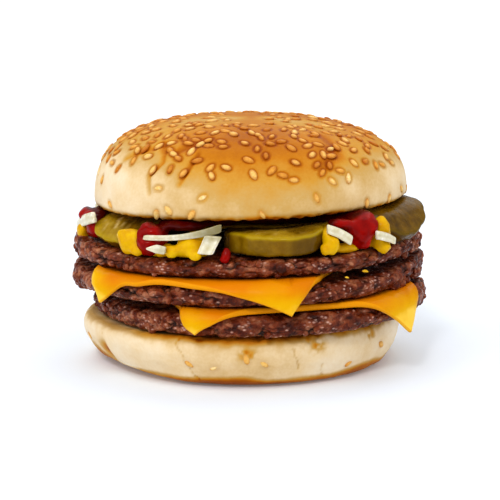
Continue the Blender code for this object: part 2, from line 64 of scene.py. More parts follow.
# The named sizes of the solids
HEEL_RADIUS = 52.0 * MM
HEEL_HEIGHT = 16.5 * MM
CROWN_RADIUS = 50.7 * MM
CROWN_HEIGHT = 26.3 * MM
STACK_OFFSET = 2.9 * MM
STACK_LEAN = 0.018
CROWN_LEAN = 0.034
DOME_LEAN = -0.012
PATTY_BASES = (16.8 * MM, 26.7 * MM, 35.7 * MM)
PATTY_THICKNESSES = (7.3 * MM, 6.4 * MM, 5.7 * MM)
PATTY_RADII = (55.4 * MM, 57.6 * MM, 57.3 * MM)
PATTY_CENTRES = ((2.6 * MM, 0), (-0.8 * MM, 0), (-0.4 * MM, 0))
PATTY_EDGE = 3.4 * MM
PATTY_FLAT = 40 * MM
TOPPING_BASE = 41.7 * MM
CROWN_BASE = 52.8 * MM
GAP = 0.3 * MM


# ---------------------------------------------------------------- noise and meshes


def lattice(cell, seed):
    """A random number from 0 to 1 for each whole-number point."""
    x, y, z = (cell[..., axis].astype(np.int64) for axis in range(3))
    mixed = (x * 374761393 + y * 668265263 + z * 1440670441 + seed * 144269504) & 0xFFFFFFFF
    mixed = ((mixed ^ (mixed >> 13)) * 1274126177) & 0xFFFFFFFF
    mixed = ((mixed ^ (mixed >> 16)) * 1103515245) & 0xFFFFFFFF
    return ((mixed ^ (mixed >> 15)) & 0xFFFFFF) / 0xFFFFFF


def soft_noise(points, size, seed, octaves=1):
    """Smooth random relief from about -1 to 1, with lumps of the given size."""
    total, weight, weights = 0.0, 1.0, 0.0
    for octave in range(octaves):
        spot = points / size * 2**octave
        base = np.floor(spot)
        part = spot - base
        part = part**3 * (part * (part * 6 - 15) + 10)
        value = 0.0
        for corner in itertools.product((0, 1), repeat=3):
            share = np.prod(np.where(corner, part, 1 - part), axis=-1)
            value = value + share * lattice(base + corner, seed + 31 * octave)
        total = total + weight * (2 * value - 1)
        weights += weight
        weight *= 0.5
    return 1.6 * total / weights


def cells(points, size, seed):
    """Round lumps of a size: their depth from 0 on a crest, the distance to a seam, and a tone for each."""
    spot = points / size
    base = np.floor(spot)
    near = np.full(spot.shape[:-1], 9.0)
    second, tone, near_sum = near.copy(), np.zeros_like(near), np.zeros_like(near)
    for step in itertools.product((-1, 0, 1), repeat=3):
        cell = base + step
        place = cell + np.stack([lattice(cell, seed + axis) for axis in range(3)], axis=-1)
        far = np.linalg.norm(spot - place, axis=-1)
        near_sum += np.exp(-9 * far * far)
        closer = far < near
        second = np.where(closer, near, np.minimum(second, far))
        tone = np.where(closer, lattice(cell, seed + 3), tone)
        near = np.where(closer, far, near)
    return np.clip(0.1 - np.log(near_sum + 1e-9) / 9, 0, 1.2), second - near, tone


def ring(radius, bearing, z):
    """Points at a radius and a bearing in radians."""
    radius, bearing, z = np.broadcast_arrays(radius, bearing, z)
    return np.stack([radius * np.cos(bearing), radius * np.sin(bearing), z], axis=-1)


def off(bearing, middle):
    """The degrees from a middle in degrees to a bearing in radians, from -180 to 180."""
    return (np.degrees(bearing) - middle + 180) % 360 - 180


def swell(bearing, *lobes):
    """The sum of some lobes at a bearing in radians."""
    total = np.zeros_like(bearing)
    for middle, width, amount in lobes:
        total += amount * bell(off(bearing, middle) / width)
    return total


def bell(value):
    """1 where a value is 0, falling off to both sides."""
    return np.exp(-(value**2))


def smooth_step(low, high, value):
    share = np.clip((value - low) / (high - low), 0, 1)
    return share * share * (3 - 2 * share)


def normals(rows):
    """The outward direction at each point of a grid of rows, whose columns run round and close."""
    upward = np.gradient(rows, axis=0)
    along = np.roll(rows, -1, axis=1) - np.roll(rows, 1, axis=1)
    out = np.cross(along, upward)
    return out / np.maximum(np.linalg.norm(out, axis=-1, keepdims=True), 1e-12)


def stacked(points):
    """Level layout to the row frame: the lean of the stack, and its place on the lower bun half."""
    placed = points.copy()
    placed[..., 2] += STACK_LEAN * points[..., 0]
    placed[..., 0] += STACK_OFFSET
    return placed


def grid_mesh(name, rows):
    """A closed mesh through rows of points from the lowest to the highest, with a fan at each end."""
    count, columns, _ = rows.shape
    points = np.concatenate([rows.reshape(-1, 3), rows[:1].mean(axis=1), rows[-1:].mean(axis=1)])
    i = np.arange(columns)
    j = (i + 1) % columns
    start = np.arange(count - 1)[:, None] * columns
    quads = np.stack([start + i, start + j, start + columns + j, start + columns + i], axis=-1).reshape(-1, 4)
    low, high = len(points) - 2, len(points) - 1
    last = (count - 1) * columns
    fans = [(low, b, a) for a, b in zip(i.tolist(), j.tolist())]
    fans += [(high, last + a, last + b) for a, b in zip(i.tolist(), j.tolist())]
    mesh = bpy.data.meshes.new(name)
    mesh.from_pydata(points.tolist(), [], quads.tolist() + fans)
    return mesh


def copies_mesh(name, shapes, faces):
    """One mesh of many copies of a shape, which share their faces and have points of their own."""
    count = len(shapes[0])
    all_faces = [[corner + count * copy for corner in face] for copy in range(len(shapes)) for face in faces]
    mesh = bpy.data.meshes.new(name)
    mesh.from_pydata(np.concatenate(shapes).tolist(), [], all_faces)
    return mesh


def add_blob(shape, base, bearing, distance, rise, *halves):
    """Adds a round blob to a bmesh. Its middle's distance and rise, and its half sizes, are in mm."""
    turn = math.radians(bearing)
    place = stacked(ring(distance * MM, turn, base + rise * MM))
    matrix = Matrix.LocRotScale(Vector(place), Matrix.Rotation(turn, 3, "Z"), Vector(halves) * MM)
    bmesh.ops.create_icosphere(shape, subdivisions=3, radius=1.0, matrix=matrix)


def mark(mesh, name, values):
    """Stores a number for each point, for the materials. Points past the end of the values get their mean."""
    values = np.asarray(values, np.float32).ravel()
    stored = np.full(len(mesh.vertices), values.mean(), np.float32)
    stored[: len(values)] = values
    mesh.attributes.new(name, "FLOAT", "POINT").data.foreach_set("value", stored)


def shape_mesh(name, shape):
    """A mesh from a bmesh, which is then freed."""
    mesh = bpy.data.meshes.new(name)
    shape.to_mesh(mesh)
    shape.free()
    return mesh


def add_object(name, data):
    made = bpy.data.objects.new(name, data)
    bpy.context.scene.collection.objects.link(made)
    return made


def add_piece(name, mesh, material, node=None):
    """Puts a mesh in the scene as a piece of the burger, in place of the node that it dresses."""
    mesh.shade_smooth()
    mesh.materials.clear()
    mesh.materials.append(material)
    piece = add_object(name, mesh)
    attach(piece, "root")
    if node:
        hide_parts(node)


# ---------------------------------------------------------------- materials


def srgb(code):
    """A colour from its hexadecimal code, as the shaders take it."""
    parts = [int(code[i : i + 2], 16) / 255 for i in (0, 2, 4)]
    return (*(p / 12.92 if p <= 0.04045 else ((p + 0.055) / 1.055) ** 2.4 for p in parts), 1)


class Paint:
    """A material under construction: a Principled shader and the nodes that feed it."""

    def __init__(self, name, roughness, **settings):
        self.material = bpy.data.materials.new(name)
        self.material.use_nodes = True
        self.tree = self.material.node_tree
        self.shader = self.tree.nodes["Principled BSDF"]
        self.coordinates = self.node("TexCoord").outputs["Object"]
        for key, value in {"Roughness": roughness, **settings}.items():
            self.shader.inputs[key.replace("_", " ")].default_value = value

    def feed(self, socket, value):
        """Gives a socket a link, a colour code or a plain value."""
        if isinstance(value, bpy.types.NodeSocket):
            self.tree.links.new(value, socket)
        else:
            socket.default_value = srgb(value) if isinstance(value, str) else value

    def node(self, kind, inputs=(), **settings):
        made = self.tree.nodes.new("ShaderNode" + kind)
        for key, value in settings.items():
            setattr(made, key, value)
        for key, value in dict(inputs).items():
            self.feed(made.inputs[key], value)
        return made

    def marked(self, name):
        return self.node("Attribute", attribute_name=name).outputs["Fac"]

    def noise(self, size, detail=2.0):
        inputs = {"Vector": self.coordinates, "Scale": 1 / size, "Detail": detail}
        return self.node("TexNoise", inputs).outputs["Fac"]

    def cells(self, size, stretch=(1, 1, 1)):
        vector = self.node("Mapping", {"Vector": self.coordinates, "Scale": stretch}).outputs["Vector"]
        return self.node("TexVoronoi", {"Vector": vector, "Scale": 1 / size}).outputs["Distance"]

    def ramp(self, value, *stops):
        made = self.node("ValToRGB", {"Fac": value})
        elements = made.color_ramp.elements
        while len(elements) < len(stops):
            elements.new(0.5)
        for element, (position, code) in zip(elements, stops):
            element.position = position
            element.color = srgb(code)
        return made.outputs["Color"]

    def spread(self, value, low, high, out_low=0.0, out_high=1.0):
        """Takes the range from low to high to another one, and stays inside it."""
        inputs = {"Value": value, "From Min": low, "From Max": high, "To Min": out_low, "To Max": out_high}
        return self.node("MapRange", inputs).outputs["Result"]

    def vary(self, size, detail, low=0.0, high=1.0):
        """Noise of a size that runs from low to high."""
        return self.spread(self.noise(size, detail), 0.3, 0.7, low, high)

    def add(self, a, b):
        return self.node("Math", {0: a, 1: b}, operation="ADD").outputs["Value"]

    def times(self, a, b):
        return self.node("Math", {0: a, 1: b}, operation="MULTIPLY").outputs["Value"]

    def mix(self, share, a, b, way="MIX"):
        return self.node("Mix", {0: share, 6: a, 7: b}, data_type="RGBA", blend_type=way).outputs[2]

    def colour(self, value):
        self.feed(self.shader.inputs["Base Color"], value)

    def roughness(self, value):
        self.feed(self.shader.inputs["Roughness"], value)

    def bump(self, height, distance, strength):
        made = self.node("Bump", {"Height": height, "Distance": distance, "Strength": strength})
        self.feed(self.shader.inputs["Normal"], made.outputs["Normal"])


def bread_material():
    """Baked crust, whose marked value holds painted light and shade as well as the bake: pale where it is 0,
    golden brown at 0.75, and toasted dark at 1.
    """
    paint = Paint("bread", 0.5, Specular_IOR_Level=0.1)
    speckle = paint.spread(paint.noise(0.9 * MM, 3.0), 0.35, 0.65, -0.012, 0.012)
    bake = paint.add(paint.marked("bake"), paint.add(paint.vary(9 * MM, 4.0, -0.045, 0.045), speckle))
    crust = paint.ramp(
        bake,
        (0.0, "F2E4CC"),
        (0.15, "E4CAA0"),
        (0.3, "CAA464"),
        (0.42, "CA953C"),
        (0.54, "C07A16"),
        (0.68, "A85E03"),
        (0.82, "944608"),
        (1.0, "5A2810"),
    )
    # The crust round each seed is darker: partly toast, partly painted shade.
    paint.colour(paint.mix(paint.marked("near_seed"), crust, "8C4000"))
    paint.roughness(paint.spread(bake, 0.1, 0.8, 0.62, 0.4))
    pores = paint.spread(paint.cells(1.3 * MM), 0.0, 0.35)
    paint.bump(paint.add(paint.noise(0.5 * MM, 4.0), paint.times(pores, 0.35)), 0.1 * MM, 0.6)
    return paint.material


def seed_material():
    """Sesame: cream to golden brown, each seed in its own tone, with a darker rim."""
    paint = Paint("sesame", 0.4, Specular_IOR_Level=0.2)
    tone = paint.add(paint.marked("tone"), paint.vary(0.7 * MM, 2.0, -0.12, 0.12))
    body = paint.ramp(tone, (0.0, "F4DFA8"), (0.2, "EEC676"), (0.6, "DE9F42"), (1.0, "C07820"))
    paint.colour(paint.mix(paint.marked("rim"), body, "A85604"))
    paint.bump(paint.noise(0.35 * MM, 3.0), 0.08 * MM, 0.6)
    return paint.material


def beef_material():
    """Browned minced beef: red brown on the crumbs, with painted shade in the clefts, and pale flecks that
    are partly fatty bits and partly painted highlights, with moist gloss.
    """
    paint = Paint("beef", 0.45, Specular_IOR_Level=0.22)
    mottle = paint.noise(3.6 * MM, 5.0)
    mottled = paint.ramp(mottle, (0.32, "2C0A00"), (0.44, "561C06"), (0.54, "803A1A"), (0.66, "B27452"))
    # Each bit's tone, with painted light and shade added on the patties.
    tone = paint.marked("grain")
    grain = paint.ramp(tone, (0.0, "300A02"), (0.45, "60240E"), (0.85, "8A4628"), (1.0, "BC8262"))
    body = paint.mix(0.44, mottled, grain)
    body = paint.mix(1.0, body, paint.vary(0.55 * MM, 3.0, 0.78, 1.16), "MULTIPLY")
    # Painted shade: darker in the clefts between the crumbs.
    cleft = paint.marked("cleft")
    body = paint.mix(paint.spread(cleft, 0.3, 1.0), body, "200600")
    # Pale flecks on the crests: partly fatty bits, partly painted highlights.
    dots = paint.spread(paint.cells(1.7 * MM, (1, 1, 1.7)), 0.4, 0.12, 0.0, 0.75)
    gathered = paint.spread(paint.noise(4.4 * MM, 3.0), 0.46, 0.6)
    fat = paint.times(dots, paint.times(gathered, paint.spread(cleft, 0.7, 0.2)))
    paint.colour(paint.mix(fat, body, "D8B0A0"))
    paint.roughness(paint.spread(paint.noise(1.3 * MM, 3.0), 0.42, 0.58, 0.16, 0.6))
    paint.bump(paint.add(paint.noise(0.42 * MM, 4.0), paint.times(paint.cells(1.1 * MM), 0.4)), 0.2 * MM, 0.7)
    return paint.material


def cheese_material():
    """Processed cheese: orange where it lies flat, yellower where it hangs, and paler where a highlight is
    painted on.
    """
    paint = Paint("cheese", 0.34, Specular_IOR_Level=0.08)
    droop = paint.add(paint.marked("droop"), paint.vary(12 * MM, 3.0, -0.2, 0.2))
    body = paint.ramp(droop, (0.0, "D67E00"), (0.4, "DA9600"), (0.8, "E0AA02"), (1.0, "F4C848"))
    paint.colour(paint.mix(paint.marked("edge"), body, "E8A010"))
    paint.roughness(paint.vary(5 * MM, 2.0, 0.26, 0.42))
    paint.bump(paint.noise(2.4 * MM, 3.0), 0.08 * MM, 0.3)
    return paint.material


def pickle_material():
    """A slice of dill pickle: dark rind, olive flesh, and paler seeds in the middle, each in a lit and a
    shaded tone, mixed as painted light and shade.
    """
    paint = Paint("pickle", 0.22, Specular_IOR_Level=0.16)
    bright = paint.marked("bright")
    mottle = paint.vary(3.4 * MM, 2.0)
    flesh = paint.mix(bright, paint.mix(mottle, "4E3602", "705004"), paint.mix(mottle, "8E6E02", "B2922A"))
    flesh = paint.mix(paint.marked("seedy"), flesh, paint.mix(bright, "86681A", "CEB474"))
    rind = paint.mix(bright, "503602", paint.mix(mottle, "7A5800", "926C04"))
    skinned = paint.mix(paint.marked("rind"), flesh, rind)
    paint.colour(paint.mix(paint.marked("lime"), skinned, "B4980A"))
    paint.roughness(paint.vary(2 * MM, 2.0, 0.12, 0.32))
    paint.bump(paint.noise(1.3 * MM, 3.0), 0.25 * MM, 0.6)
    return paint.material


def onion_material():
    """Raw white onion: faint ribs, and glassy brown green where it has gone clear."""
    depth = {"Subsurface_Weight": 0.3, "Subsurface_Scale": 2 * MM, "Subsurface_Radius": (1.0, 0.9, 0.6)}
    paint = Paint("onion", 0.2, Specular_IOR_Level=0.4, **depth)
    body = paint.ramp(paint.noise(1.8 * MM, 3.0), (0.3, "CEC4A0"), (0.55, "DED8C0"), (0.75, "F2EEE2"))
    ribbed = paint.mix(paint.marked("rib"), body, "B8A878")
    paint.colour(paint.mix(paint.marked("clear"), ribbed, "7C7040"))
    paint.bump(paint.noise(0.9 * MM, 2.0), 0.05 * MM, 0.3)
    return paint.material


def sauce_material(name, dark, light, roughness):
    """A glossy sauce, uneven in tone, and painted dark where it lies under the crown, as painted shade."""
    paint = Paint(name, roughness, Specular_IOR_Level=0.12)
    body = paint.mix(paint.spread(paint.noise(4 * MM, 3.0), 0.32, 0.68), dark, light)
    # Painted shade under the crown.
    paint.colour(paint.mix(paint.marked("sheltered"), body, "240000"))
    paint.roughness(paint.vary(3 * MM, 2.0, roughness * 0.7, roughness * 1.4))
    paint.bump(paint.noise(1.6 * MM, 3.0), 0.14 * MM, 0.45)
    return paint.material


BREAD = bread_material()
SESAME = seed_material()
BEEF = beef_material()
CHEESE = cheese_material()
PICKLE = pickle_material()
ONION = onion_material()
MUSTARD = sauce_material("mustard", "CC9400", "E0B604", 0.24)
KETCHUP = sauce_material("ketchup", "780300", "A20A00", 0.18)


# ---------------------------------------------------------------- bun

CROWN_WAIST = 0.08  # the height at which the crown is widest, as a share of its height
CROWN_CUT = 0.96  # the cut face's radius, as a share of the widest
WAIST_RISE = 0.16  # the rise, from 0 on the cut face to 1 at the top, that ends at the waist
DOME_SQUARENESS = (0.62, 0.85)
DOME_LUMP = 0.8 * MM
SEED_LENGTH = 3.7 * MM
SEED_WIDTH = 2.5 * MM
SEED_THICKNESS = 1.2 * MM
SEEDS_IN_SOLID = 116
MORE_SEEDS = (  # how many, the room that each needs in mm, how far down they reach, only in the creases
    (34, 2.4, 0.86, True),
    (140, 2.4, 0.6, False),
    (60, 2.3, 0.42, False),
)
CROWN_CREASES = (  # path of (bearing, mm above the cut face), width and depth in mm
    (((228, 21.5), (232, 19.5), (234, 17), (230, 13), (232, 8)), 0.95, 0.9),
    (((248, 19), (246, 14.5), (244, 11)), 0.9, 0.8),
    (((250, 22.5), (243, 21.5), (238, 20)), 1.1, 0.6),
    (((212, 17), (218, 19), (226, 21)), 1.1, 0.6),
    (((300, 15), (308, 18), (310, 21)), 2.4, 0.5),
    (((60, 6), (66, 12), (64, 17)), 1.8, 0.7),
    (((130, 9), (122, 14), (120, 19)), 2.0, 0.7),
)


def bun_outline(bearing, offset):
    return 1 + 0.007 * np.sin(2 * bearing + 0.6 + offset) + 0.005 * np.sin(3 * bearing + 2.1 * offset)


def crown_floor(x):
    return CROWN_BASE + (CROWN_LEAN - STACK_LEAN) * x


def crown_points(bearing, rise):
    """The crown's surface and its share of the height, at bearings in radians and rises from 0 to 1."""
    low_turn = np.clip(rise / WAIST_RISE, 0, 1) * math.pi / 2
    high_turn = np.clip((rise - WAIST_RISE) / (1 - WAIST_RISE), 0, 1) * math.pi / 2
    below = rise < WAIST_RISE
    dome_out = np.maximum(0, np.cos(high_turn)) ** DOME_SQUARENESS[0]
    dome_up = CROWN_WAIST + (1 - CROWN_WAIST) * np.sin(high_turn) ** DOME_SQUARENESS[1]
    out = np.where(below, CROWN_CUT + (1 - CROWN_CUT) * np.sin(low_turn), dome_out)
    up = np.where(below, CROWN_WAIST * (1 - np.cos(low_turn)), dome_up)
    points = ring(CROWN_RADIUS * out * (1 + (bun_outline(bearing, 1.3) - 1) * out), bearing, 0.0)
    low = crown_floor(points[..., 0])
    top = CROWN_BASE + CROWN_HEIGHT + (DOME_LEAN - STACK_LEAN) * points[..., 0]
    points[..., 2] = low + up * (top - low)
    lumps = [noise.noise(Vector(point) * 42 + Vector((4, 1, 7))) for point in points.reshape(-1, 3).tolist()]
    points[..., 2] += DOME_LUMP * np.array(lumps).reshape(up.shape) * np.minimum(1, 3 * up)
    return points, up


def crown_frame(bearing, rise):
    """A point on the crown with its outward normal."""
    b = bearing + 0.004 * np.array([0, 1, -1, 0, 0])
    r = rise + 0.004 * np.array([0, 0, 0, 1, -1])
    points = [Vector(point) for point in crown_points(b, r)[0]]
    return points[0], (points[1] - points[2]).cross(points[3] - points[4]).normalized()


def groove(bearing, height, path, width):
    """1 on a path of (bearing, height in mm) points, falling off over a width in metres in the surface."""
    best = np.full(bearing.shape, 1.0)
    for (b0, h0), (b1, h1) in zip(path, path[1:]):
        x = np.radians(off(bearing, b0)) * CROWN_RADIUS
        y = height - h0 * MM
        dx, dy = math.radians(b1 - b0) * CROWN_RADIUS, (h1 - h0) * MM
        share = np.clip((x * dx + y * dy) / (dx * dx + dy * dy), 0, 1)
        best = np.minimum(best, np.hypot(x - share * dx, y - share * dy))
    return bell(best / width)


def in_a_crease(bearing, place):
    """Whether a place on the crown lies in a crease or close beside it."""
    height = np.array([place.z - crown_floor(place.x)])
    lines = [groove(np.array([bearing]), height, path, 2.2 * width * MM) for path, width, _ in CROWN_CREASES]
    return np.max(lines) >= 0.4


def seed_places(rng, count, room_needed, found, reach=0.86, creased=False):
    """Adds places until there are so many: thick on top of the crown, and thin on its flank."""
    while len(found) < count:
        best, best_room = None, -1.0
        for _ in range(7):
            bearing = rng.uniform(0, math.tau)
            rise = 0.97 - reach * rng.random() ** 0.9
            place = Vector(crown_points(np.array([bearing]), np.array([rise]))[0][0])
            spread = place.xy.length / CROWN_RADIUS
            if rng.random() > spread * (1 - 0.55 * spread**6):
                continue
            if creased and not in_a_crease(bearing, place):
                continue
            room = min(((place - other).length for other, _, _ in found), default=1.0)
            if room > best_room:
                best, best_room = (place, bearing, rise), room
        if best and best_room > room_needed:
            found.append(best)
    return found


def crown_seeds():
    """The frames of the crown's seeds. The first are the solid's, by the same rule and draws."""
    rng = random.Random(7)
    places = seed_places(rng, SEEDS_IN_SOLID, 3.7 * MM, [])
    turns = [rng.uniform(0, math.tau) for _ in places]
    rng = random.Random(19)
    for count, room, reach, creased in MORE_SEEDS:
        places = seed_places(rng, len(places) + count, room * MM, places, reach, creased)
    turns += [rng.uniform(0, math.tau) for _ in places[SEEDS_IN_SOLID:]]
    return [(*crown_frame(bearing, rise), turn, rise) for (_, bearing, rise), turn in zip(places, turns)]


def seed_lie(outward, turn):
    """The axes of a seed as it lies: its length, its width, and up from the surface."""
    return outward.to_track_quat("Z", "Y").to_matrix() @ Matrix.Rotation(turn, 3, "Z")


def seed_shape(steps=7, columns=10):
    """The points and faces of one seed, a flat teardrop that lies along X."""
    along = -np.cos(np.linspace(0.18, math.pi - 0.18, steps))[:, None]
    turn = np.linspace(0, math.tau, columns, endpoint=False)
    half = np.sqrt(1 - along**2) * (1 - 0.3 * (1 + along) / 2)
    across = half * np.cos(turn) * SEED_WIDTH / 2
    up = half**0.7 * np.sin(turn) * SEED_THICKNESS * 0.56
    along = np.repeat(along, columns, 1) * SEED_LENGTH / 2
    pattern = grid_mesh("pattern", np.stack([along, across, up], axis=-1))
    points = np.array([vertex.co for vertex in pattern.vertices])
    faces = [list(face.vertices) for face in pattern.polygons]
    bpy.data.meshes.remove(pattern)
    return points, faces


def build_seeds(name, frames):
    """Seeds that lie on a surface: each (place, outward, turn, rise). Low ones are pale and sunk in."""
    rng = random.Random(5)
    shape, faces = seed_shape()
    from_middle = np.hypot(shape[:, 0] / (SEED_LENGTH / 2), shape[:, 1] / (SEED_WIDTH / 2))
    edge = np.clip(1.9 * from_middle - 0.85, 0, 1)
    seeds, tones, rims = [], [], []
    for place, outward, spin, rise in frames:
        size = rng.uniform(0.78, 1.06)
        sink = rng.uniform(0.0, 0.22) * MM + (0.22 * MM if rise < 0.35 else 0.0)
        tilt = Matrix.Rotation(rng.uniform(-0.13, 0.13), 3, "X")
        tilt = tilt @ Matrix.Rotation(rng.uniform(-0.1, 0.1), 3, "Y")
        lie = np.array(seed_lie(outward, spin) @ tilt)
        stretch = np.array((size, size * rng.uniform(0.9, 1.06), 1.0))
        seeds.append((shape * stretch) @ lie.T + np.array(place - outward * sink))
        tone = rng.uniform(0.2, 1.0) if rise > 0.35 else rng.uniform(0.1, 0.45)
        tones.append(np.full(len(shape), tone))
        rims.append(edge * rng.uniform(0.5, 0.95) * (1.0 if rise > 0.3 else 0.7))
    mesh = copies_mesh(name, seeds, faces)
    mark(mesh, "tone", np.concatenate(tones))
    mark(mesh, "rim", np.concatenate(rims))
    add_piece(name, mesh, SESAME)


def under_seeds(points, frames):
    """1 on the crust under each seed, falling off just past its outline."""
    flat = points.reshape(-1, 3)
    best = np.full(len(flat), 9.0)
    for place, outward, turn, _ in frames:
        away = flat - np.array(place)
        close = np.flatnonzero(np.abs(away).max(axis=1) < SEED_LENGTH)
        along, across, _ = (away[close] @ np.array(seed_lie(outward, turn))).T
        best[close] = np.minimum(best[close], np.hypot(along / (SEED_LENGTH / 2), across / (SEED_WIDTH / 2)))
    return bell(np.maximum(best - 1, 0) / 0.26).reshape(points.shape[:-1])


def build_crown(columns=540, under=14, rows=104):
    bearing = np.linspace(0, math.tau, columns, endpoint=False)
    share = np.linspace(0.3, 1.0, under, endpoint=False)[:, None]
    outline = 1 + (bun_outline(bearing, 1.3) - 1) * share
    below = ring(CROWN_RADIUS * CROWN_CUT * share * outline, bearing, 0.0)
    below[..., 2] = crown_floor(below[..., 0])
    crumb = soft_noise(below, 1.6 * MM, 3, 3)
    below[..., 2] += (0.35 * MM * np.abs(crumb)) * np.minimum(1, 12 * (1 - share))
    rise = 0.985 * np.linspace(0, 1, rows)[:, None] ** 1.05
    bearing, rise = np.broadcast_arrays(bearing, rise)
    above, up = crown_points(bearing, rise)
    outward = normals(above)
    height = above[..., 2] - crown_floor(above[..., 0])
    frames = crown_seeds()
    near = under_seeds(above, frames)
    fine, broad = soft_noise(above, 4 * MM, 11, 3), soft_noise(above, 11 * MM, 12, 2)
    dent = 0.16 * MM * near + 0.07 * MM * fine + 0.1 * MM * broad
    creased = np.zeros_like(up)
    for path, width, depth in CROWN_CREASES:
        line = groove(bearing, height, path, width * MM)
        dent += depth * MM * (line - 0.45 * groove(bearing, height, path, 2.2 * width * MM))
        creased = np.maximum(creased, line)
    dent += bell(height / (0.9 * MM)) * 0.3 * MM * soft_noise(above, 1.9 * MM, 14, 2)
    above = above - outward * dent[..., None]

    # Painted paler to the left, where the light falls, and browner low at the front: partly the bake, partly
    # painted light and shade.
    front, left, right = (swell(bearing, lobe) for lobe in ((275, 46, 1), (212, 38, 1), (330, 36, 1)))
    level = up + 0.09 * soft_noise(above, 15 * MM, 21, 3)
    pale = 0.115 + 0.2 * front - 0.04 * left - 0.01 * right
    gold = 0.66 - 0.22 * left - 0.2 * right
    start = 0.16 + 0.26 * left + 0.06 * right - 0.06 * front
    bake = pale + (gold - pale) * smooth_step(start, 0.86 + 0.08 * left, level)
    # The very top is painted paler, as a painted sheen.
    bake -= 0.1 * smooth_step(0.9, 1.0, up)
    # The creases are painted browner, as painted shade in them.
    bake += 0.2 * creased * smooth_step(0.12, 0.4, up)
    toasted = bell(height / (0.95 * MM)) * (0.65 + 0.5 * soft_noise(above, 3 * MM, 23, 2))
    # Toasted along the cut edge; round each seed the crust is browner, partly toast and partly painted shade.
    bake += 0.6 * toasted + (0.06 + 0.12 * up) * near
    cut_face = 0.55 + 0.3 * soft_noise(below, 5 * MM, 24, 2) + 0.25 * np.abs(crumb)
    mesh = grid_mesh("crown", stacked(np.concatenate([below, above])))
    mark(mesh, "bake", np.concatenate([np.clip(cut_face, 0, 1), np.clip(bake, 0.02, 1)]))
    # Darker round each seed, more so higher up: partly toast, partly painted shade.
    halo = near * (0.05 + 0.36 * smooth_step(0.3, 0.75, up))
    mark(mesh, "near_seed", np.concatenate([np.zeros_like(crumb), halo]))
    add_piece("crown", mesh, BREAD, "bun_top")
    build_seeds("crown_seeds", [(Vector(stacked(np.array(place))), *lie) for place, *lie in frames])


HEEL_PROFILE = (  # share of the radius, share of the height
    (0.8, 0.0),
    (0.865, 0.03),
    (0.92, 0.11),
    (0.955, 0.28),
    (0.985, 0.48),
    (1.0, 0.66),
    (0.998, 0.85),
    (0.98, 0.96),
    (0.94, 1.0),
)
HEEL_CRACKS = (  # path of (bearing, height in mm), width and depth in mm
    (((247, 15.5), (248.5, 12), (251, 8), (252, 5), (254, 2.5)), 0.26, 0.4),
    (((288, 13), (289.5, 9.5), (290.5, 6)), 0.24, 0.4),
    (((299, 7), (301, 3)), 0.24, 0.4),
    (((206, 9), (209, 5)), 0.4, 0.35),
    (((20, 12), (23, 6)), 0.4, 0.5),
    (((70, 14), (72, 8), (75, 4)), 0.35, 0.5),
    (((118, 9), (121, 4)), 0.4, 0.5),
    (((160, 13), (158, 6)), 0.4, 0.5),
)
HEEL_SIDES = ((214, 32, -2.0 * MM), (322, 30, 1.1 * MM))  # lobes by which its foot draws in or bulges
HEEL_LIFT = (212, 26, 1.5 * MM)  # lobe by which its foot curls up off the floor
HEEL_FOLD = (212, 7.4 * MM)  # bearing and height of the dent in its side
HEEL_STAINS = ((297.5, 13.4), (272, 12.0), (322, 13.6), (30, 12), (160, 13))  # bearing, height in mm
HEEL_SEEDS = {272: 10.8, 278: 8.9, 252: 8.2, 261: 7.4, 312: 5.6, 330: 9, 35: 8, 58: 6, 84: 10}
HEEL_SEEDS |= {110: 7, 141: 9, 172: 7, 196: 10}


def heel_side(bearing, rows):
    """The side of the lower bun half, from its foot to its top edge, before its relief."""
    shares = np.array(HEEL_PROFILE)
    steps = np.hypot(*(np.diff(shares, axis=0) * (HEEL_RADIUS, HEEL_HEIGHT)).T)
    steps = np.concatenate([[0], np.cumsum(steps)])
    out, up = (np.interp(np.linspace(0, steps[-1], rows), steps, shares[:, axis]) for axis in range(2))
    kernel = np.array([1, 4, 6, 4, 1]) / 16
    for _ in range(5):
        out[2:-2] = np.convolve(out, kernel, "valid")
        up[2:-2] = np.convolve(up, kernel, "valid")
    out, up = out[:, None], up[:, None]
    lopsided = swell(bearing, *HEEL_SIDES) * (1 - up) ** 0.8
    side = ring(HEEL_RADIUS * out * bun_outline(bearing, 0.0) + lopsided, bearing, 0.0)
    lifted = swell(bearing, HEEL_LIFT) * (1 - up) ** 1.5
    side[..., 2] = up * (HEEL_HEIGHT + STACK_LEAN * side[..., 0]) + lifted
    return side


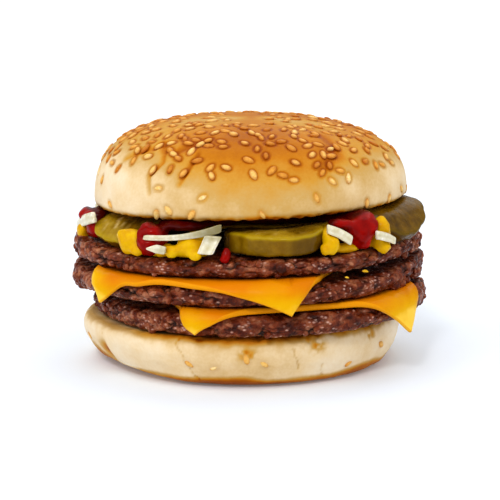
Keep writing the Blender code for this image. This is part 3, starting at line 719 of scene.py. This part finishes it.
def build_heel(columns=540, rows=66):
    bearing = np.linspace(0, math.tau, columns, endpoint=False)
    side = heel_side(bearing, rows)
    inner = np.linspace(0.3, 0.94, 10, endpoint=False)[::-1, None]
    top = ring(HEEL_RADIUS * inner * bun_outline(bearing, 0.0), bearing, 0.0)
    top[..., 2] = HEEL_HEIGHT + STACK_LEAN * top[..., 0] - 0.1 * MM
    bearing = np.broadcast_to(bearing, side.shape[:2])
    height = side[..., 2]
    outward = normals(side)
    dent = 0.28 * MM * soft_noise(side, 9 * MM, 41, 3) + 0.07 * MM * soft_noise(side, 2 * MM, 42, 2)
    wobble = np.radians(0.9 * soft_noise(side, 2.6 * MM, 43, 2))
    cracked = np.zeros_like(height)
    for path, width, depth in HEEL_CRACKS:
        line = groove(bearing + wobble, height, path, width * MM)
        dent += depth * MM * line
        cracked = np.maximum(cracked, line)
    beside = off(bearing, HEEL_FOLD[0])
    beside = beside / np.where(beside > 0, 1.1, 4.6)
    fold = bell(beside) * bell((height - HEEL_FOLD[1]) / (2.8 * MM))
    dent += 0.5 * MM * fold
    dent += 0.25 * MM * bell((HEEL_HEIGHT - height) / (1.2 * MM)) * soft_noise(side, 1.8 * MM, 44, 2)
    side = side - outward * (dent * smooth_step(0.0, 1.2 * MM, height))[..., None]

    front, left, right = (swell(bearing, lobe) for lobe in ((268, 27, 1), (196, 13, 1), (322, 15, 1)))
    degrees = np.degrees(bearing)
    facing = smooth_step(216, 244, degrees) * smooth_step(360, 330, degrees)
    edge = HEEL_HEIGHT + STACK_LEAN * side[..., 0] - height
    patch = soft_noise(side, 4 * MM, 45, 2)
    toasted = bell(edge / ((1.2 + 0.5 * facing + 0.7 * patch) * MM))
    tide = (4.2 + 0.9 * soft_noise(side, 12 * MM, 46, 2) + 4.6 * left + 1.6 * right) * MM
    crust = (1 - smooth_step(0.42 * tide, tide, height)) * (0.52 - swell(bearing, (236, 9, 0.15)))
    spots = np.clip(soft_noise(side, 2.6 * MM, 47, 2) - 0.95, 0, 1) * smooth_step(9 * MM, 15 * MM, height)
    flaky = np.clip(0.5 + 0.9 * soft_noise(side, 1.6 * MM, 40, 2), 0, 1)
    for middle, level in HEEL_STAINS:
        spots += flaky * swell(bearing, (middle, 2.6, 1.1)) * bell((height - level * MM) / (1.8 * MM))
    # Browner at the front: partly the bake, partly painted shade under the patties.
    bake = 0.06 + 0.15 * front + 0.04 * (left + right) + 0.03 * soft_noise(side, 14 * MM, 48, 2)
    # The cracks are painted darker, as painted shade in them.
    bake += crust + 0.62 * fold + 0.44 * toasted * (0.5 + 0.5 * facing) + 0.1 * cracked + 0.4 * spots
    cut_face = 0.2 + 0.06 * soft_noise(top, 3 * MM, 49, 2)
    mesh = grid_mesh("heel", np.concatenate([side, top]))
    mark(mesh, "bake", np.clip(np.concatenate([bake, cut_face]), 0.02, 1))
    frames = []
    for degrees, level in HEEL_SEEDS.items():
        row = int(np.argmin(np.abs(side[:, 0, 2] - level * MM)))
        column = int(degrees / 360 * columns) % columns
        place, out = (Vector(grid[row, column]) for grid in (side, outward))
        frames.append((place, out, math.radians(degrees * 7), 0.1))
    # A little painted shade round each seed.
    mark(mesh, "near_seed", np.concatenate([0.06 * under_seeds(side, frames), np.zeros(top.shape[:2])]))
    add_piece("heel", mesh, BREAD, "bun_bottom")
    build_seeds("heel_seeds", [(place + out * 0.1 * MM, out, *lie) for place, out, *lie in frames])


# ---------------------------------------------------------------- patties

PATTY_OUTLINES = (  # lobes of the outline, in mm
    ((0, 12, 0.6), (205, 24, -1.0), (100, 30, 0.8), (300, 18, 0.6)),
    ((182, 12, 0.4), (2, 12, 0.9), (240, 25, -0.8), (120, 22, -1.0)),
    ((183, 16, 0.8), (330, 20, -1.0), (60, 26, 0.9), (262, 14, -0.6)),
)
PATTY_TOP_RISES = (  # lobes by which the top's rim rises, in mm
    ((185, 30, -1.0), (80, 40, -0.9), (346, 20, 1.6)),
    ((90, 46, -1.2), (350, 20, 1.3)),
    ((0, 20, 1.3), (90, 46, -1.6), (187, 11, 2.6)),
)
PATTY_BOTTOM_RISES = (  # lobes by which the underside's rim rises, in mm
    (),
    ((180, 18, -1.4), (80, 40, -0.8), (346, 20, 1.8)),
    ((170, 10, -1.0), (90, 40, -1.1), (358, 18, 1.6)),
)
PATTY_BEADS = (  # lobes by which the rim swells above and below its middle, in mm
    ((2, 14, 0.9), (225, 18, 0.2)),
    ((180, 14, 1.3), (2, 15, 2.0)),
    ((182, 20, 0.9), (100, 30, 0.5)),
)
PATTY_LIGHTS = (  # lobes of painted light and shade: paler beef where the light falls on it, darker where it does not
    ((222, 16, 0.35), (300, 30, -0.1)),
    ((203, 12, 0.4), (230, 11, 0.45)),
    ((205, 14, 0.25), (262, 15, -0.2), (308, 13, 0.2)),
)
PATTY_CRUMBS = ((30, 30), (50, 40), (40, 30))  # loose crumbs all round, and more at the two ends
CRAG_DEPTH = 1.9 * MM
CRAG_SIZE = 7.5 * MM


def patty_outline(which, bearing):
    return PATTY_RADII[which] + MM * swell(bearing, *PATTY_OUTLINES[which])


def rim_share(which, radius):
    return np.clip((radius - PATTY_FLAT) / (PATTY_RADII[which] - PATTY_EDGE - PATTY_FLAT), 0, 1)


def patty_top(which, bearing, radius):
    rise = MM * swell(bearing, *PATTY_TOP_RISES[which]) * rim_share(which, radius)
    return PATTY_BASES[which] + PATTY_THICKNESSES[which] + rise


def patty_bottom(which, bearing, radius):
    return PATTY_BASES[which] + MM * swell(bearing, *PATTY_BOTTOM_RISES[which]) * rim_share(which, radius)


def crag(points):
    """0 on the crest of a large crumb of meat and up to 1 in the cleft beside it, as in the solids."""
    near = [noise.voronoi(Vector(point))[0][0] for point in (points / CRAG_SIZE).reshape(-1, 3).tolist()]
    return np.minimum(1, 1.3 * np.array(near)).reshape(points.shape[:-1])


def mince(points, seed):
    """Minced meat: its depth below its crests, how far in a cleft it is, which the colour darkens as painted
    shade, and a tone for each bit.
    """
    drift = np.stack([soft_noise(points, 3.4 * MM, seed + axis, 2) for axis in range(3)], axis=-1)
    large, seam, _ = cells(points + 1.3 * MM * drift, 4.3 * MM, seed + 5)
    broken = smooth_step(-0.1, 0.5, soft_noise(points, 6 * MM, seed + 8, 2))
    cleft = bell(seam / 0.13) * broken
    small, _, tone = cells(points + 0.5 * MM * drift, 1.75 * MM, seed + 9)
    depth = 1.45 * large + 0.4 * cleft + 0.26 * small + 0.08 * soft_noise(points, 0.8 * MM, seed, 2)
    shade = 1.1 * large - 0.34 + 0.5 * cleft + 0.24 * small
    return depth * MM, np.clip(shade, 0, 1), tone


def build_patty(which, node, seed, columns=820):
    turns = np.concatenate([np.full(9, -90.0), np.linspace(-90, 90, 40), np.full(14, 90.0)])
    turns = np.radians(turns)[:, None]
    inset = np.concatenate([np.linspace(1, 0, 9, endpoint=False), np.zeros(40), np.linspace(0, 1, 15)[1:]])
    inset = inset[:, None]
    bearing = np.linspace(0, math.tau, columns, endpoint=False)[None, :]
    radius = patty_outline(which, bearing) - PATTY_EDGE * (1 - np.cos(turns))
    radius = radius + (PATTY_FLAT - radius) * inset
    low, high = patty_bottom(which, bearing, radius), patty_top(which, bearing, radius)
    bead = MM * swell(bearing, *PATTY_BEADS[which])
    z = low + (high - low) * (1 + np.sin(turns)) / 2 + bead * np.sin(2 * turns)
    rows = ring(radius, bearing, z) + (*PATTY_CENTRES[which], 0)
    depth, cleft, tone = mince(rows, seed)
    open_side = np.cos(turns) ** 0.7
    near_rim = np.clip(1 - 1.6 * inset, 0, 1) ** 0.5
    wander = soft_noise(rows, 8 * MM, seed + 70, 2)
    sunk = open_side * (0.42 * CRAG_DEPTH * crag(rows) + 0.3 * MM * (wander - 0.3))
    sunk = sunk + depth * (0.6 + 0.4 * open_side) * near_rim
    name = node.replace("patty", "beef")
    mesh = grid_mesh(name, stacked(rows - normals(rows) * sunk[..., None]))
    mark(mesh, "cleft", cleft)
    # Each bit's tone, with painted light and shade round the patty.
    mark(mesh, "grain", np.clip(tone + swell(bearing, *PATTY_LIGHTS[which]), 0, 1))
    add_piece(name, mesh, BEEF, node)


def crumb_places(rng):
    """Where loose crumbs of meat lie on the patties' rims: each (x, y, z, size)."""
    places = []
    for which, (around, ends) in enumerate(PATTY_CRUMBS):
        for number in range(around + ends):
            degrees = rng.uniform(0, 360)
            if number >= around:
                degrees = rng.choice((0, 180)) + rng.gauss(0, 9)
            bearing = math.radians(degrees)
            turn = rng.uniform(-0.9, 0.9)
            size = rng.uniform(0.7, 1.7) * MM
            rim = float(patty_outline(which, np.array([bearing]))[0])
            radius = rim - PATTY_EDGE * (1 - math.cos(turn)) - 0.9 * size - 0.5 * MM
            level = PATTY_BASES[which] + PATTY_THICKNESSES[which] / 2 * (1 + math.sin(turn))
            if which == 1 and (166 < degrees < 194 or degrees > 346):  # the middle patty's ends hang
                level -= 0.6 * MM
            x, y, z = ring(radius, bearing, level)
            places.append((x + PATTY_CENTRES[which][0], y, z, size))
    return places


def build_crumbs():
    places = crumb_places(random.Random(11))
    rng = random.Random(300)
    ball = bmesh.new()
    bmesh.ops.create_icosphere(ball, subdivisions=3, radius=1.0)
    unit = np.array([vertex.co for vertex in ball.verts])
    faces = [[vertex.index for vertex in face.verts] for face in ball.faces]
    ball.free()
    crumbs = []
    for number, (x, y, z, size) in enumerate(places):
        stretch = np.array([rng.uniform(0.75, 1.25) for _ in range(3)]) * size
        lumps = 1 + 0.2 * soft_noise(unit + 7.3 * number, 0.8, 300, 3)
        crumbs.append(unit * stretch * lumps[:, None] + (x, y, z))
    mesh = copies_mesh("beef_crumbs", [stacked(crumb) for crumb in crumbs], faces)
    _, cleft, tone = mince(np.concatenate(crumbs), 300)
    # Painted shade in the clefts, weaker on the loose crumbs.
    mark(mesh, "cleft", cleft * 0.7)
    mark(mesh, "grain", tone)
    add_piece("beef_crumbs", mesh, BEEF)


# ---------------------------------------------------------------- cheese

CHEESE_BULGE = 1.4 * MM
CHEESE_THICKNESS = 2.0 * MM
CHEESE_BEND = 3.2 * MM
CHEESE_ROOM = 0.7 * MM
CHEESE_HANG = math.radians(74)
SLICES = (  # name, node, patty that it lies on, side, middle, the way one side faces
    ("slice_lower", "cheese_lower", 0, 74 * MM, (9.2 * MM, -11.2 * MM), 284.4),
    ("slice_upper", "cheese_upper", 1, 67 * MM, (-6.7 * MM, -20.9 * MM), 250.3),
)
CHEESE_PULLS = (  # lobes by which the melted edge has run out or drawn in, in mm
    ((246.6, 3.2, 2.6), (325, 7, 1.7)),
    ((214, 5, 1.2), (228, 5, -2.4), (240, 10, -1.9), (293, 4, 1.4)),
)
CHEESE_LIGHTS = (((247, 6, 0.2), (324, 12, 0.3)), ((213, 7, 1.2),))  # lobes of painted highlight, where the hanging cheese is painted paler
CHEESE_BELLIES = (  # lobes by which its hanging corners bulge, in mm
    ((247, 7, 0.9), (326, 8, 0.5)),
    ((217, 7, 1.7), (284, 8, 0.7)),
)
CHEESE_BITS = (  # bearing, distance, height of its middle, half sizes: out, round, up, all in mm
    (311, 54.0, 35.0, 0.7, 1.0, 0.4),
    (303, 54.4, 34.0, 0.6, 0.7, 0.35),
    (24, 55.0, 34.4, 0.8, 1.2, 0.5),
    (148, 55.0, 26.2, 0.9, 1.2, 0.5),
)


def square_reach(side, middle, facing, origin, bearing):
    """How far the edge of a square slice is from a point inside it, along each bearing."""
    best = np.full(bearing.shape, 1.0)
    extra = np.zeros_like(best)
    for quarter in range(4):
        turn = math.radians(facing + 90 * quarter)
        normal = np.array((math.cos(turn), math.sin(turn)))
        leaning = normal[0] * np.cos(bearing) + normal[1] * np.sin(bearing)
        safe = np.where(leaning > 0.05, leaning, 1.0)
        reach = np.where(leaning > 0.05, (side / 2 - normal @ (origin - middle)) / safe, 9.0)
        x = origin[0] + np.cos(bearing) * reach - middle[0]
        y = origin[1] + np.sin(bearing) * reach - middle[1]
        share = (normal[0] * y - normal[1] * x) / (side / 2)
        bulge = CHEESE_BULGE * (1 - np.minimum(1, share**2)) / safe
        extra = np.where(reach < best, bulge, extra)
        best = np.minimum(best, reach)
    return best + extra


def bent(past, radius, most):
    """Points past the start of a bend: how far out and down they come to lie, and how far they turn."""
    turn = np.clip(past / radius, 0, most)
    rest = np.maximum(past, 0) - turn * radius
    out = np.where(past > 0, radius * np.sin(turn) + rest * np.cos(turn), past)
    return out, radius * (1 - np.cos(turn)) + rest * np.sin(turn), turn


def build_cheese(name, node, which, side, middle, facing):
    """A square slice, half melted, draped from the middle of the patty below it over that patty's rim."""
    centre, middle = np.array(PATTY_CENTRES[which]), np.array(middle)
    corners = []
    for quarter in range(4):
        turn = math.radians(facing + 45 + 90 * quarter)
        x, y = middle + side / math.sqrt(2) * np.array((math.cos(turn), math.sin(turn))) - centre
        corners.append(math.atan2(y, x) % math.tau)
    bearing = np.sort(np.concatenate([np.linspace(0, math.tau, 320, endpoint=False), corners]))
    edge = square_reach(side, middle, facing, centre, bearing) + MM * swell(bearing, *CHEESE_PULLS[which])
    near = np.stack([patty_outline(which, bearing + math.radians(step)) for step in (-4, 0, 4)])
    start = near.max(axis=0) + CHEESE_ROOM - CHEESE_BEND
    share = np.concatenate([np.linspace(0, 0.75, 9, endpoint=False), np.linspace(0.75, 1, 25)])[:, None]
    first = 30 * MM
    reach = first + (edge - first) * share**0.8 - start
    past = np.maximum(reach, 0)
    out, down, turn = bent(reach, CHEESE_BEND, CHEESE_HANG)
    height = patty_top(which, bearing, np.minimum(start + out, start)) + GAP - down
    under = ring(start + out, bearing, height) + (*centre, 0)
    lean = ring(np.sin(turn), bearing, np.cos(turn))
    hanging = np.clip(past / np.maximum(past[-1], 1e-6), 0, 1)
    wave = 0.28 * MM * soft_noise(under, 7 * MM, 63 + which, 2) * smooth_step(0, 3 * MM, past)
    wave += MM * swell(bearing, *CHEESE_BELLIES[which]) * np.sin(math.pi * hanging) ** 0.8
    thick = CHEESE_THICKNESS * (1 + 0.06 * soft_noise(under, 6 * MM, 61 + which, 2))
    thick *= 1 - 0.3 * smooth_step(0, 8 * MM, past)
    under = under + lean * wave[..., None]
    over = under + lean * thick[..., None]
    forward = ring(np.cos(turn[-1]), bearing, -np.sin(turn[-1]))
    half = thick[-1][:, None] / 2
    rounded = []
    for angle in np.radians((-66, -40, -14, 14, 40, 66)):
        bulged = lean[-1] * half * math.sin(angle) + forward * half * 0.75 * math.cos(angle)
        rounded.append((under[-1] + over[-1]) / 2 + bulged)
    mesh = grid_mesh(name, stacked(np.concatenate([under, np.stack(rounded), over[::-1]])))
    flat = np.zeros(under.shape[:2])
    mark(mesh, "edge", np.concatenate([flat, np.full((6, len(bearing)), 0.6), flat]))
    droop = 0.8 * smooth_step(1 * MM, 8 * MM, past)
    # Painted highlights on the hanging parts.
    droop = droop + swell(bearing, *CHEESE_LIGHTS[which]) * smooth_step(0, 3 * MM, past)
    mark(mesh, "droop", np.concatenate([droop, np.repeat(droop[-1:], 6, 0), droop[::-1]]))
    add_piece(name, mesh, CHEESE, node)


def build_cheese_bits():
    """Crumbs of cheese that have stuck in the gaps between the patties."""
    shape = bmesh.new()
    for bit in CHEESE_BITS:
        add_blob(shape, 0, *bit)
    noise.seed_set(3)  # the same bits in each run
    for vertex in shape.verts:
        vertex.co += 0.4 * MM * Vector(noise.noise_vector(vertex.co * 900))
    mesh = shape_mesh("cheese_bits", shape)
    mark(mesh, "edge", np.zeros(len(mesh.vertices)))
    mark(mesh, "droop", np.full(len(mesh.vertices), 0.8))
    add_piece("cheese_bits", mesh, CHEESE)


# ---------------------------------------------------------------- toppings

PICKLE_RADIUS = 17.4 * MM
PICKLE_THICKNESS = 5.2 * MM
PICKLE_BEND = 8 * MM
# Where each middle lies, as (bearing, distance, mm above the patty), the bearing that it bends down
# towards, and its bend, as (mm from its middle, degrees)
# Each slice's painted brightness is painted light and shade over it, and its shade darkens one half as
# painted shade.
PICKLES = (
    dict(
        node="pickle_left",
        at=(206, 34.0, 4.4),
        leaning=230,
        bend=(6.6, 54),
        bright=1.0,
        seedy=0.95,
        shade=0.9,
    ),
    dict(
        node="pickle_front",
        at=(284, 37.4, 0.3),
        leaning=280,
        bend=(10.5, 13),
        bright=0.8,
        shade=0.55,
        thicker=0.27,
        roll=0.06,
    ),
    dict(node="pickle_right", at=(337, 40.4, 6.4), leaning=316, bend=(5.4, 52), bright=0.0),
    dict(node="pickle_back_right", at=(48, 35.5, 0.1), leaning=48, bend=(14.0, 10), bright=0.6, seedy=0.6),
    dict(node="pickle_back_left", at=(128, 35.5, 0.1), leaning=128, bend=(14.0, 10), bright=0.7, seedy=0.6),
)


def build_pickle(number, node, at, leaning, bend, bright, seedy=0.3, shade=0.0, thicker=0.0, roll=0.0):
    """A round slice that bends down over the rim. It may be thicker at that side, and rolled a little."""
    bearing, leaning, steepness = (math.radians(angle) for angle in (at[0], leaning, bend[1]))
    seed = 500 + 20 * number
    forward, sideways = ring(1.0, leaning, 0.0), ring(1.0, leaning + math.pi / 2, 0.0)
    disc = np.linspace(0.06, 0.84, 20)
    edge = np.radians(np.linspace(-90, 90, 21))
    lift = np.sign(np.sin(edge)) * np.abs(np.sin(edge)) ** 0.4
    shares = np.concatenate([disc, 0.85 + 0.15 * np.cos(edge) ** 0.4, disc[::-1]])[:, None]
    ups = np.concatenate([np.zeros(20), 0.5 + 0.5 * lift, np.ones(20)])[:, None]
    turn = np.linspace(0, math.tau, 160, endpoint=False)[None, :]
    flat = ring(PICKLE_RADIUS * shares, turn, 0.0)
    lumps = 0.012 * soft_noise(flat, 5 * MM, seed, 2)
    lumps = lumps + 0.02 * np.abs(np.sin(8 * turn + 1.3 * number)) * shares**6
    radius = PICKLE_RADIUS * (0.985 + 0.022 * np.cos(5 * turn + bearing) + lumps) * shares
    along, across = radius * np.cos(turn), radius * np.sin(turn)
    out, down, slope = bent(along - bend[0] * MM, PICKLE_BEND, steepness)
    place = ring(at[1] * MM, bearing, TOPPING_BASE + at[2] * MM)
    place = place + forward * (bend[0] * MM + out)[..., None] + sideways * across[..., None]
    place[..., 2] += roll * (across + PICKLE_RADIUS) - down
    normal = forward * np.sin(slope)[..., None] + np.array((0, 0, 1)) * np.cos(slope)[..., None]
    hollow = 0.5 * MM * smooth_step(0.75, 0.3, shares) * np.where(ups > 0.5, -1, 0)
    relief = 0.16 * MM * soft_noise(place, 2.6 * MM, seed + 3, 2) * np.where(ups > 0.5, 1, -1)
    thick = PICKLE_THICKNESS * (1 + thicker * smooth_step(-4 * MM, 8 * MM, along))
    name = f"slice_of_{node}"
    mesh = grid_mesh(name, stacked(place + normal * (ups * thick + hollow + relief)[..., None]))
    spoke = np.cos(3 * turn + 2 * soft_noise(flat, 9 * MM, seed + 5))
    pale = 0.25 * smooth_step(0.72, 0.5, shares) * (0.5 + 0.5 * spoke)
    ovals = cells(flat * (1, 1, 0) + (0, 0, 2 * number), 2.1 * MM, seed + 7)[0]
    seeds = smooth_step(0.3, 0.1, ovals) * smooth_step(0.2, 0.3, shares) * smooth_step(0.93, 0.84, shares)
    mark(mesh, "seedy", np.clip(seedy * seeds + (0.3 + bright) * pale, 0, 1))
    # A paler line along the top of the rind: partly its cut edge, partly a painted highlight.
    lime = 0.7 * bell((ups - 0.93) / 0.07) * smooth_step(0.9, 0.93, shares) * (0.2 + bright)
    mark(mesh, "lime", np.broadcast_to(lime, along.shape))
    side = smooth_step(0.955, 0.985, shares + 0.01 * soft_noise(flat, 3 * MM, seed + 8))
    mark(mesh, "rind", side * (0.8 + 0.2 * soft_noise(flat, 3 * MM, seed + 9)))
    # One half painted darker, as painted shade, and the whole slice lit or shaded by its painted brightness.
    shaded = smooth_step(-2 * MM, 3 * MM, across + MM * soft_noise(flat, 3 * MM, seed + 10))
    mark(mesh, "bright", np.clip(bright - shade * shaded, 0, 1))
    add_piece(name, mesh, PICKLE, node)


ONIONS = (  # node, start and end as (bearing, distance, mm above the patty), width, thickness, bow, share
    # of the width at the start and at the end, how far aslant the ends are cut, how glassy its end is
    ("onion_far_left", (185, 56.2, 3.4), (203.5, 53.8, 8.6), 3.7, 1.8, 0.3, (0.7, 1.0), 0.3, 0.0),
    ("onion_strip", (235.6, 57.0, 6.1), (260.5, 52.4, 9.2), 1.8, 1.3, -1.0, (0.9, 1.5), -0.3, 0.9),
    ("onion_in_ketchup", (237.5, 58.2, 3.0), (244, 58.2, 2.8), 2.6, 1.5, 0.2, (0.2, 0.9), 0.0, 0.3),
    ("onion_block", (256.0, 55.8, 1.8), (258.2, 53.8, 7.1), 5.0, 1.7, 0.1, (0.95, 1.05), 0.3, 0.5),
    ("onion_right", (295, 55.4, 8.2), (303, 56.6, 4.0), 2.9, 1.7, 0.4, (0.95, 1.0), 0.3, 0.0),
    ("onion_far_right", (311.5, 58.4, 5.0), (320, 58.4, 2.0), 2.6, 1.7, 0.3, (1.05, 0.8), 0.3, 0.0),
    ("onion_back_right", (2, 53.8, 6.4), (16, 55.0, 2.4), 3.2, 1.9, 0.6, (0.8, 1.0), 0.2, 0.2),
    ("onion_back", (80, 54.6, 4.4), (98, 54.2, 5.8), 3.0, 1.8, 1.0, (1.0, 0.6), -0.2, 0.3),
    ("onion_back_left", (152, 55.2, 2.2), (164, 53.6, 6.2), 3.4, 1.9, 0.5, (0.7, 1.0), 0.2, 0.2),
)


def build_onion(number, node, start, end, width, thickness, bow, taper, slant, clear, steps=40, columns=36):
    """A bowed strip with crisp edges, cut aslant and narrower towards one end, with faint ribs along it."""
    t = np.linspace(0, 1, steps)
    bearing, distance, rise = (first + (last - first) * t for first, last in zip(start, end))
    bearing = np.radians(bearing)
    centre = ring(distance * MM, bearing, TOPPING_BASE + (rise + bow * np.sin(math.pi * t)) * MM)
    forward = np.gradient(centre, axis=0)
    forward /= np.linalg.norm(forward, axis=-1, keepdims=True)
    out = ring(1.0, bearing, 0.0)
    broad = np.cross(forward, out)[:, None]
    forward, out = forward[:, None], out[:, None]
    turn = np.linspace(0, math.tau, columns, endpoint=False)
    across, through = (np.sign(wave) * np.abs(wave) ** 0.36 for wave in (np.cos(turn), np.sin(turn)))
    blunt = np.minimum(1, 12 * np.minimum(t, 1 - t) + 0.6) ** 0.5
    tapered = np.interp(t, (0, 0.5, 1), (taper[0], 1, taper[1])) * blunt
    wide = (across * (width * MM / 2 * tapered)[:, None])[..., None]
    deep = (through * (thickness * MM / 2 * 0.85 * blunt)[:, None])[..., None]
    rows = centre[:, None] + broad * wide + out * deep
    lumps = out * 0.1 * MM * soft_noise(rows, 3.2 * MM, 700 + number)[..., None]
    rows = rows + lumps + forward * slant * wide
    name = f"strip_of_{node}"
    mesh = grid_mesh(name, stacked(rows))
    mark(mesh, "clear", np.repeat(clear * smooth_step(0.3, 1.0, t), columns))
    mark(mesh, "rib", np.tile(0.35 * (0.5 + 0.5 * np.cos(5 * math.pi * across)) ** 3, steps))
    shape = bmesh.new()
    shape.from_mesh(mesh)
    bmesh.ops.recalc_face_normals(shape, faces=shape.faces)
    add_piece(name, shape_mesh(name, shape), ONION, node)


SAUCE_VOXEL = 0.66 * MM
SAUCE_DRIPS = {  # where a drop narrows towards its lower end: bearing, mm above the patty, share of its width
    "ketchup": ((308.5, 8.5, 0.42), (233.5, 4.0, 0.2), (157, 8, 0.3), (74, 8, 0.3)),
    "mustard": ((298.5, 7.0, 0.2), (317, 8.0, 0.25), (9, 8, 0.3), (88, 8, 0.3)),
}
SAUCE_SMEARS = {  # bearing, distance, height above the patty, half sizes: out, round, up, all in mm
    "ketchup": (
        (262.4, 54.0, 1.4, 1.3, 1.2, 2.2),
        (261.8, 54.4, 0.0, 1.0, 1.3, 1.2),
        (311.5, 54.6, 2.6, 2.6, 2.2, 2.2),
        (302.5, 51.8, 9.0, 3.4, 4.4, 1.5),
        (152, 54.8, 2.0, 2.2, 2.4, 2.2),
        (197, 51.4, 4.0, 3.4, 4.4, 3.4),
        (190, 53.2, 8.0, 3.2, 4.6, 2.4),
    ),
    "mustard": (
        (231.5, 55.8, 1.4, 1.8, 2.6, 1.7),
        (224.6, 55.4, 5.4, 1.8, 1.8, 2.2),
        (244.5, 55.6, 2.6, 1.6, 2.6, 2.0),
        (252.5, 55.2, 1.2, 2.2, 2.4, 1.6),
        (293.6, 55.0, 1.6, 1.9, 2.4, 2.2),
        (318.6, 56.6, 0.6, 1.8, 1.8, 1.6),
        (190, 54.6, 1.2, 2.0, 3.6, 1.5),
        (191, 55.4, 3.2, 1.4, 3.4, 1.7),
    ),
}


def rounded_mesh(name, mesh):
    """A mesh whose overlapping shapes are joined into one, and rounded off."""
    rough = add_object(name + "_rough", mesh)
    remesh = rough.modifiers.new("remesh", "REMESH")
    remesh.mode = "VOXEL"
    remesh.voxel_size = SAUCE_VOXEL
    rounding = rough.modifiers.new("rounding", "SMOOTH")
    rounding.factor = 0.6
    rounding.iterations = 9
    graph = bpy.context.evaluated_depsgraph_get()
    smooth = bpy.data.meshes.new_from_object(rough.evaluated_get(graph))
    bpy.data.objects.remove(rough)
    return smooth


def over_patties(points):
    """Heights over the patties of points in the row frame."""
    return points[:, 2] - STACK_LEAN * points[:, 0] - TOPPING_BASE


def build_sauce(node, material):
    """A sauce from its solid, with more drops and threads joined on and the whole rounded off."""
    shape = bmesh.new()
    shape.from_mesh(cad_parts[node].data)
    for smear in SAUCE_SMEARS[node]:
        add_blob(shape, TOPPING_BASE, *smear)
    name = f"{node}_sauce"
    mesh = rounded_mesh(name, shape_mesh(name, shape))
    points, out = np.empty((len(mesh.vertices), 3)), np.empty((len(mesh.vertices), 3))
    mesh.vertices.foreach_get("co", points.ravel())
    mesh.vertices.foreach_get("normal", out.ravel())
    points += out * (0.2 * MM + 0.5 * MM * soft_noise(points, 4.2 * MM, 801, 2))[:, None]
    for bearing, level, share in SAUCE_DRIPS[node]:
        beside = off(np.arctan2(points[:, 1], points[:, 0] - STACK_OFFSET), bearing)
        down = smooth_step(level * MM, 0, over_patties(points))
        pull = -np.radians(beside) * share * down * smooth_step(15, 9, np.abs(beside))
        around = points[:, :2] - (STACK_OFFSET, 0)
        points[:, 0] -= pull * around[:, 1]
        points[:, 1] += pull * around[:, 0]
    mesh.vertices.foreach_set("co", points.ravel())
    mesh.update()
    spread = np.hypot(points[:, 0] - STACK_OFFSET, points[:, 1])
    # Painted shade where the sauce lies in under the crown.
    sheltered = 0.8 * smooth_step(5.5 * MM, 8.5 * MM, over_patties(points))
    mark(mesh, "sheltered", sheltered * smooth_step(54.6 * MM, 52.6 * MM, spread))
    add_piece(name, mesh, material, node)


# ---------------------------------------------------------------- stage

LAMPS = (  # name, bearing and elevation in degrees, apparent size in degrees, strength
    ("left", 213, 41, 70, 1.1),
    ("right", -28, 44, 90, 0.95),
    ("back", 84, 52, 60, 0.7),
    ("spark", 256, 40, 8, 0.6),
)
CAMERA_DISTANCE = 614 * MM
CAMERA_ELEVATION = math.radians(10)
CAMERA_FOCAL = 133.9
AIM_BELOW_MIDDLE = 4.8 * MM


def build_camera():
    """A long lens, a little above the burger, that looks at the side it is served to."""
    middle = (CAD_LOW + CAD_HIGH) / 2
    aim = Vector((STACK_OFFSET, 0, middle.z - AIM_BELOW_MIDDLE))
    data = bpy.data.cameras.new("camera")
    data.lens = CAMERA_FOCAL
    data.sensor_width = 36
    data.clip_start = 0.01
    camera = add_object("camera", data)
    away = Vector((0, -math.cos(CAMERA_ELEVATION), math.sin(CAMERA_ELEVATION)))
    camera.location = aim + away * CAMERA_DISTANCE
    camera.rotation_euler = (-away).to_track_quat("-Z", "Y").to_euler()
    bpy.context.scene.camera = camera


def build_stage():
    """A pale floor, an even white world and soft suns."""
    paint = Paint("stage", 0.9, Emission_Color=(1, 1, 1, 1), Emission_Strength=0.1, Specular_IOR_Level=0.1)
    paint.colour(paint.ramp(paint.noise(60 * MM), (0.3, "E0E6EF"), (0.7, "E3E9F1")))
    mesh = bpy.data.meshes.new("floor")
    mesh.from_pydata([(-4, -4, 0), (4, -4, 0), (4, 4, 0), (-4, 4, 0)], [], [(0, 1, 2, 3)])
    mesh.materials.append(paint.material)
    add_object("floor", mesh)
    world = bpy.data.worlds.new("studio")
    world.use_nodes = True
    world.node_tree.nodes["Background"].inputs["Color"].default_value = (1, 1, 1, 1)
    world.node_tree.nodes["Background"].inputs["Strength"].default_value = 0.37
    bpy.context.scene.world = world
    for name, bearing, elevation, size, strength in LAMPS:
        light = bpy.data.lights.new(name, "SUN")
        light.angle = math.radians(size)
        light.energy = strength
        lamp = add_object(name, light)
        bearing, elevation = math.radians(bearing), math.radians(elevation)
        lamp.location = Vector(ring(math.cos(elevation), bearing, math.sin(elevation)))
        lamp.rotation_euler = lamp.location.to_track_quat("Z", "Y").to_euler()
    bpy.context.scene.view_settings.view_transform = "Standard"
    bpy.context.scene.view_settings.look = "Medium High Contrast"


build_camera()
build_stage()
build_heel()
build_crown()
for number, node in enumerate(("patty_bottom", "patty_middle", "patty_top")):
    build_patty(number, node, 100 + 40 * number)
build_crumbs()
for cheese in SLICES:
    build_cheese(*cheese)
for number, pickle in enumerate(PICKLES):
    build_pickle(number, **pickle)
for number, onion in enumerate(ONIONS):
    build_onion(number, *onion)
build_sauce("mustard", MUSTARD)
build_sauce("ketchup", KETCHUP)
build_cheese_bits()
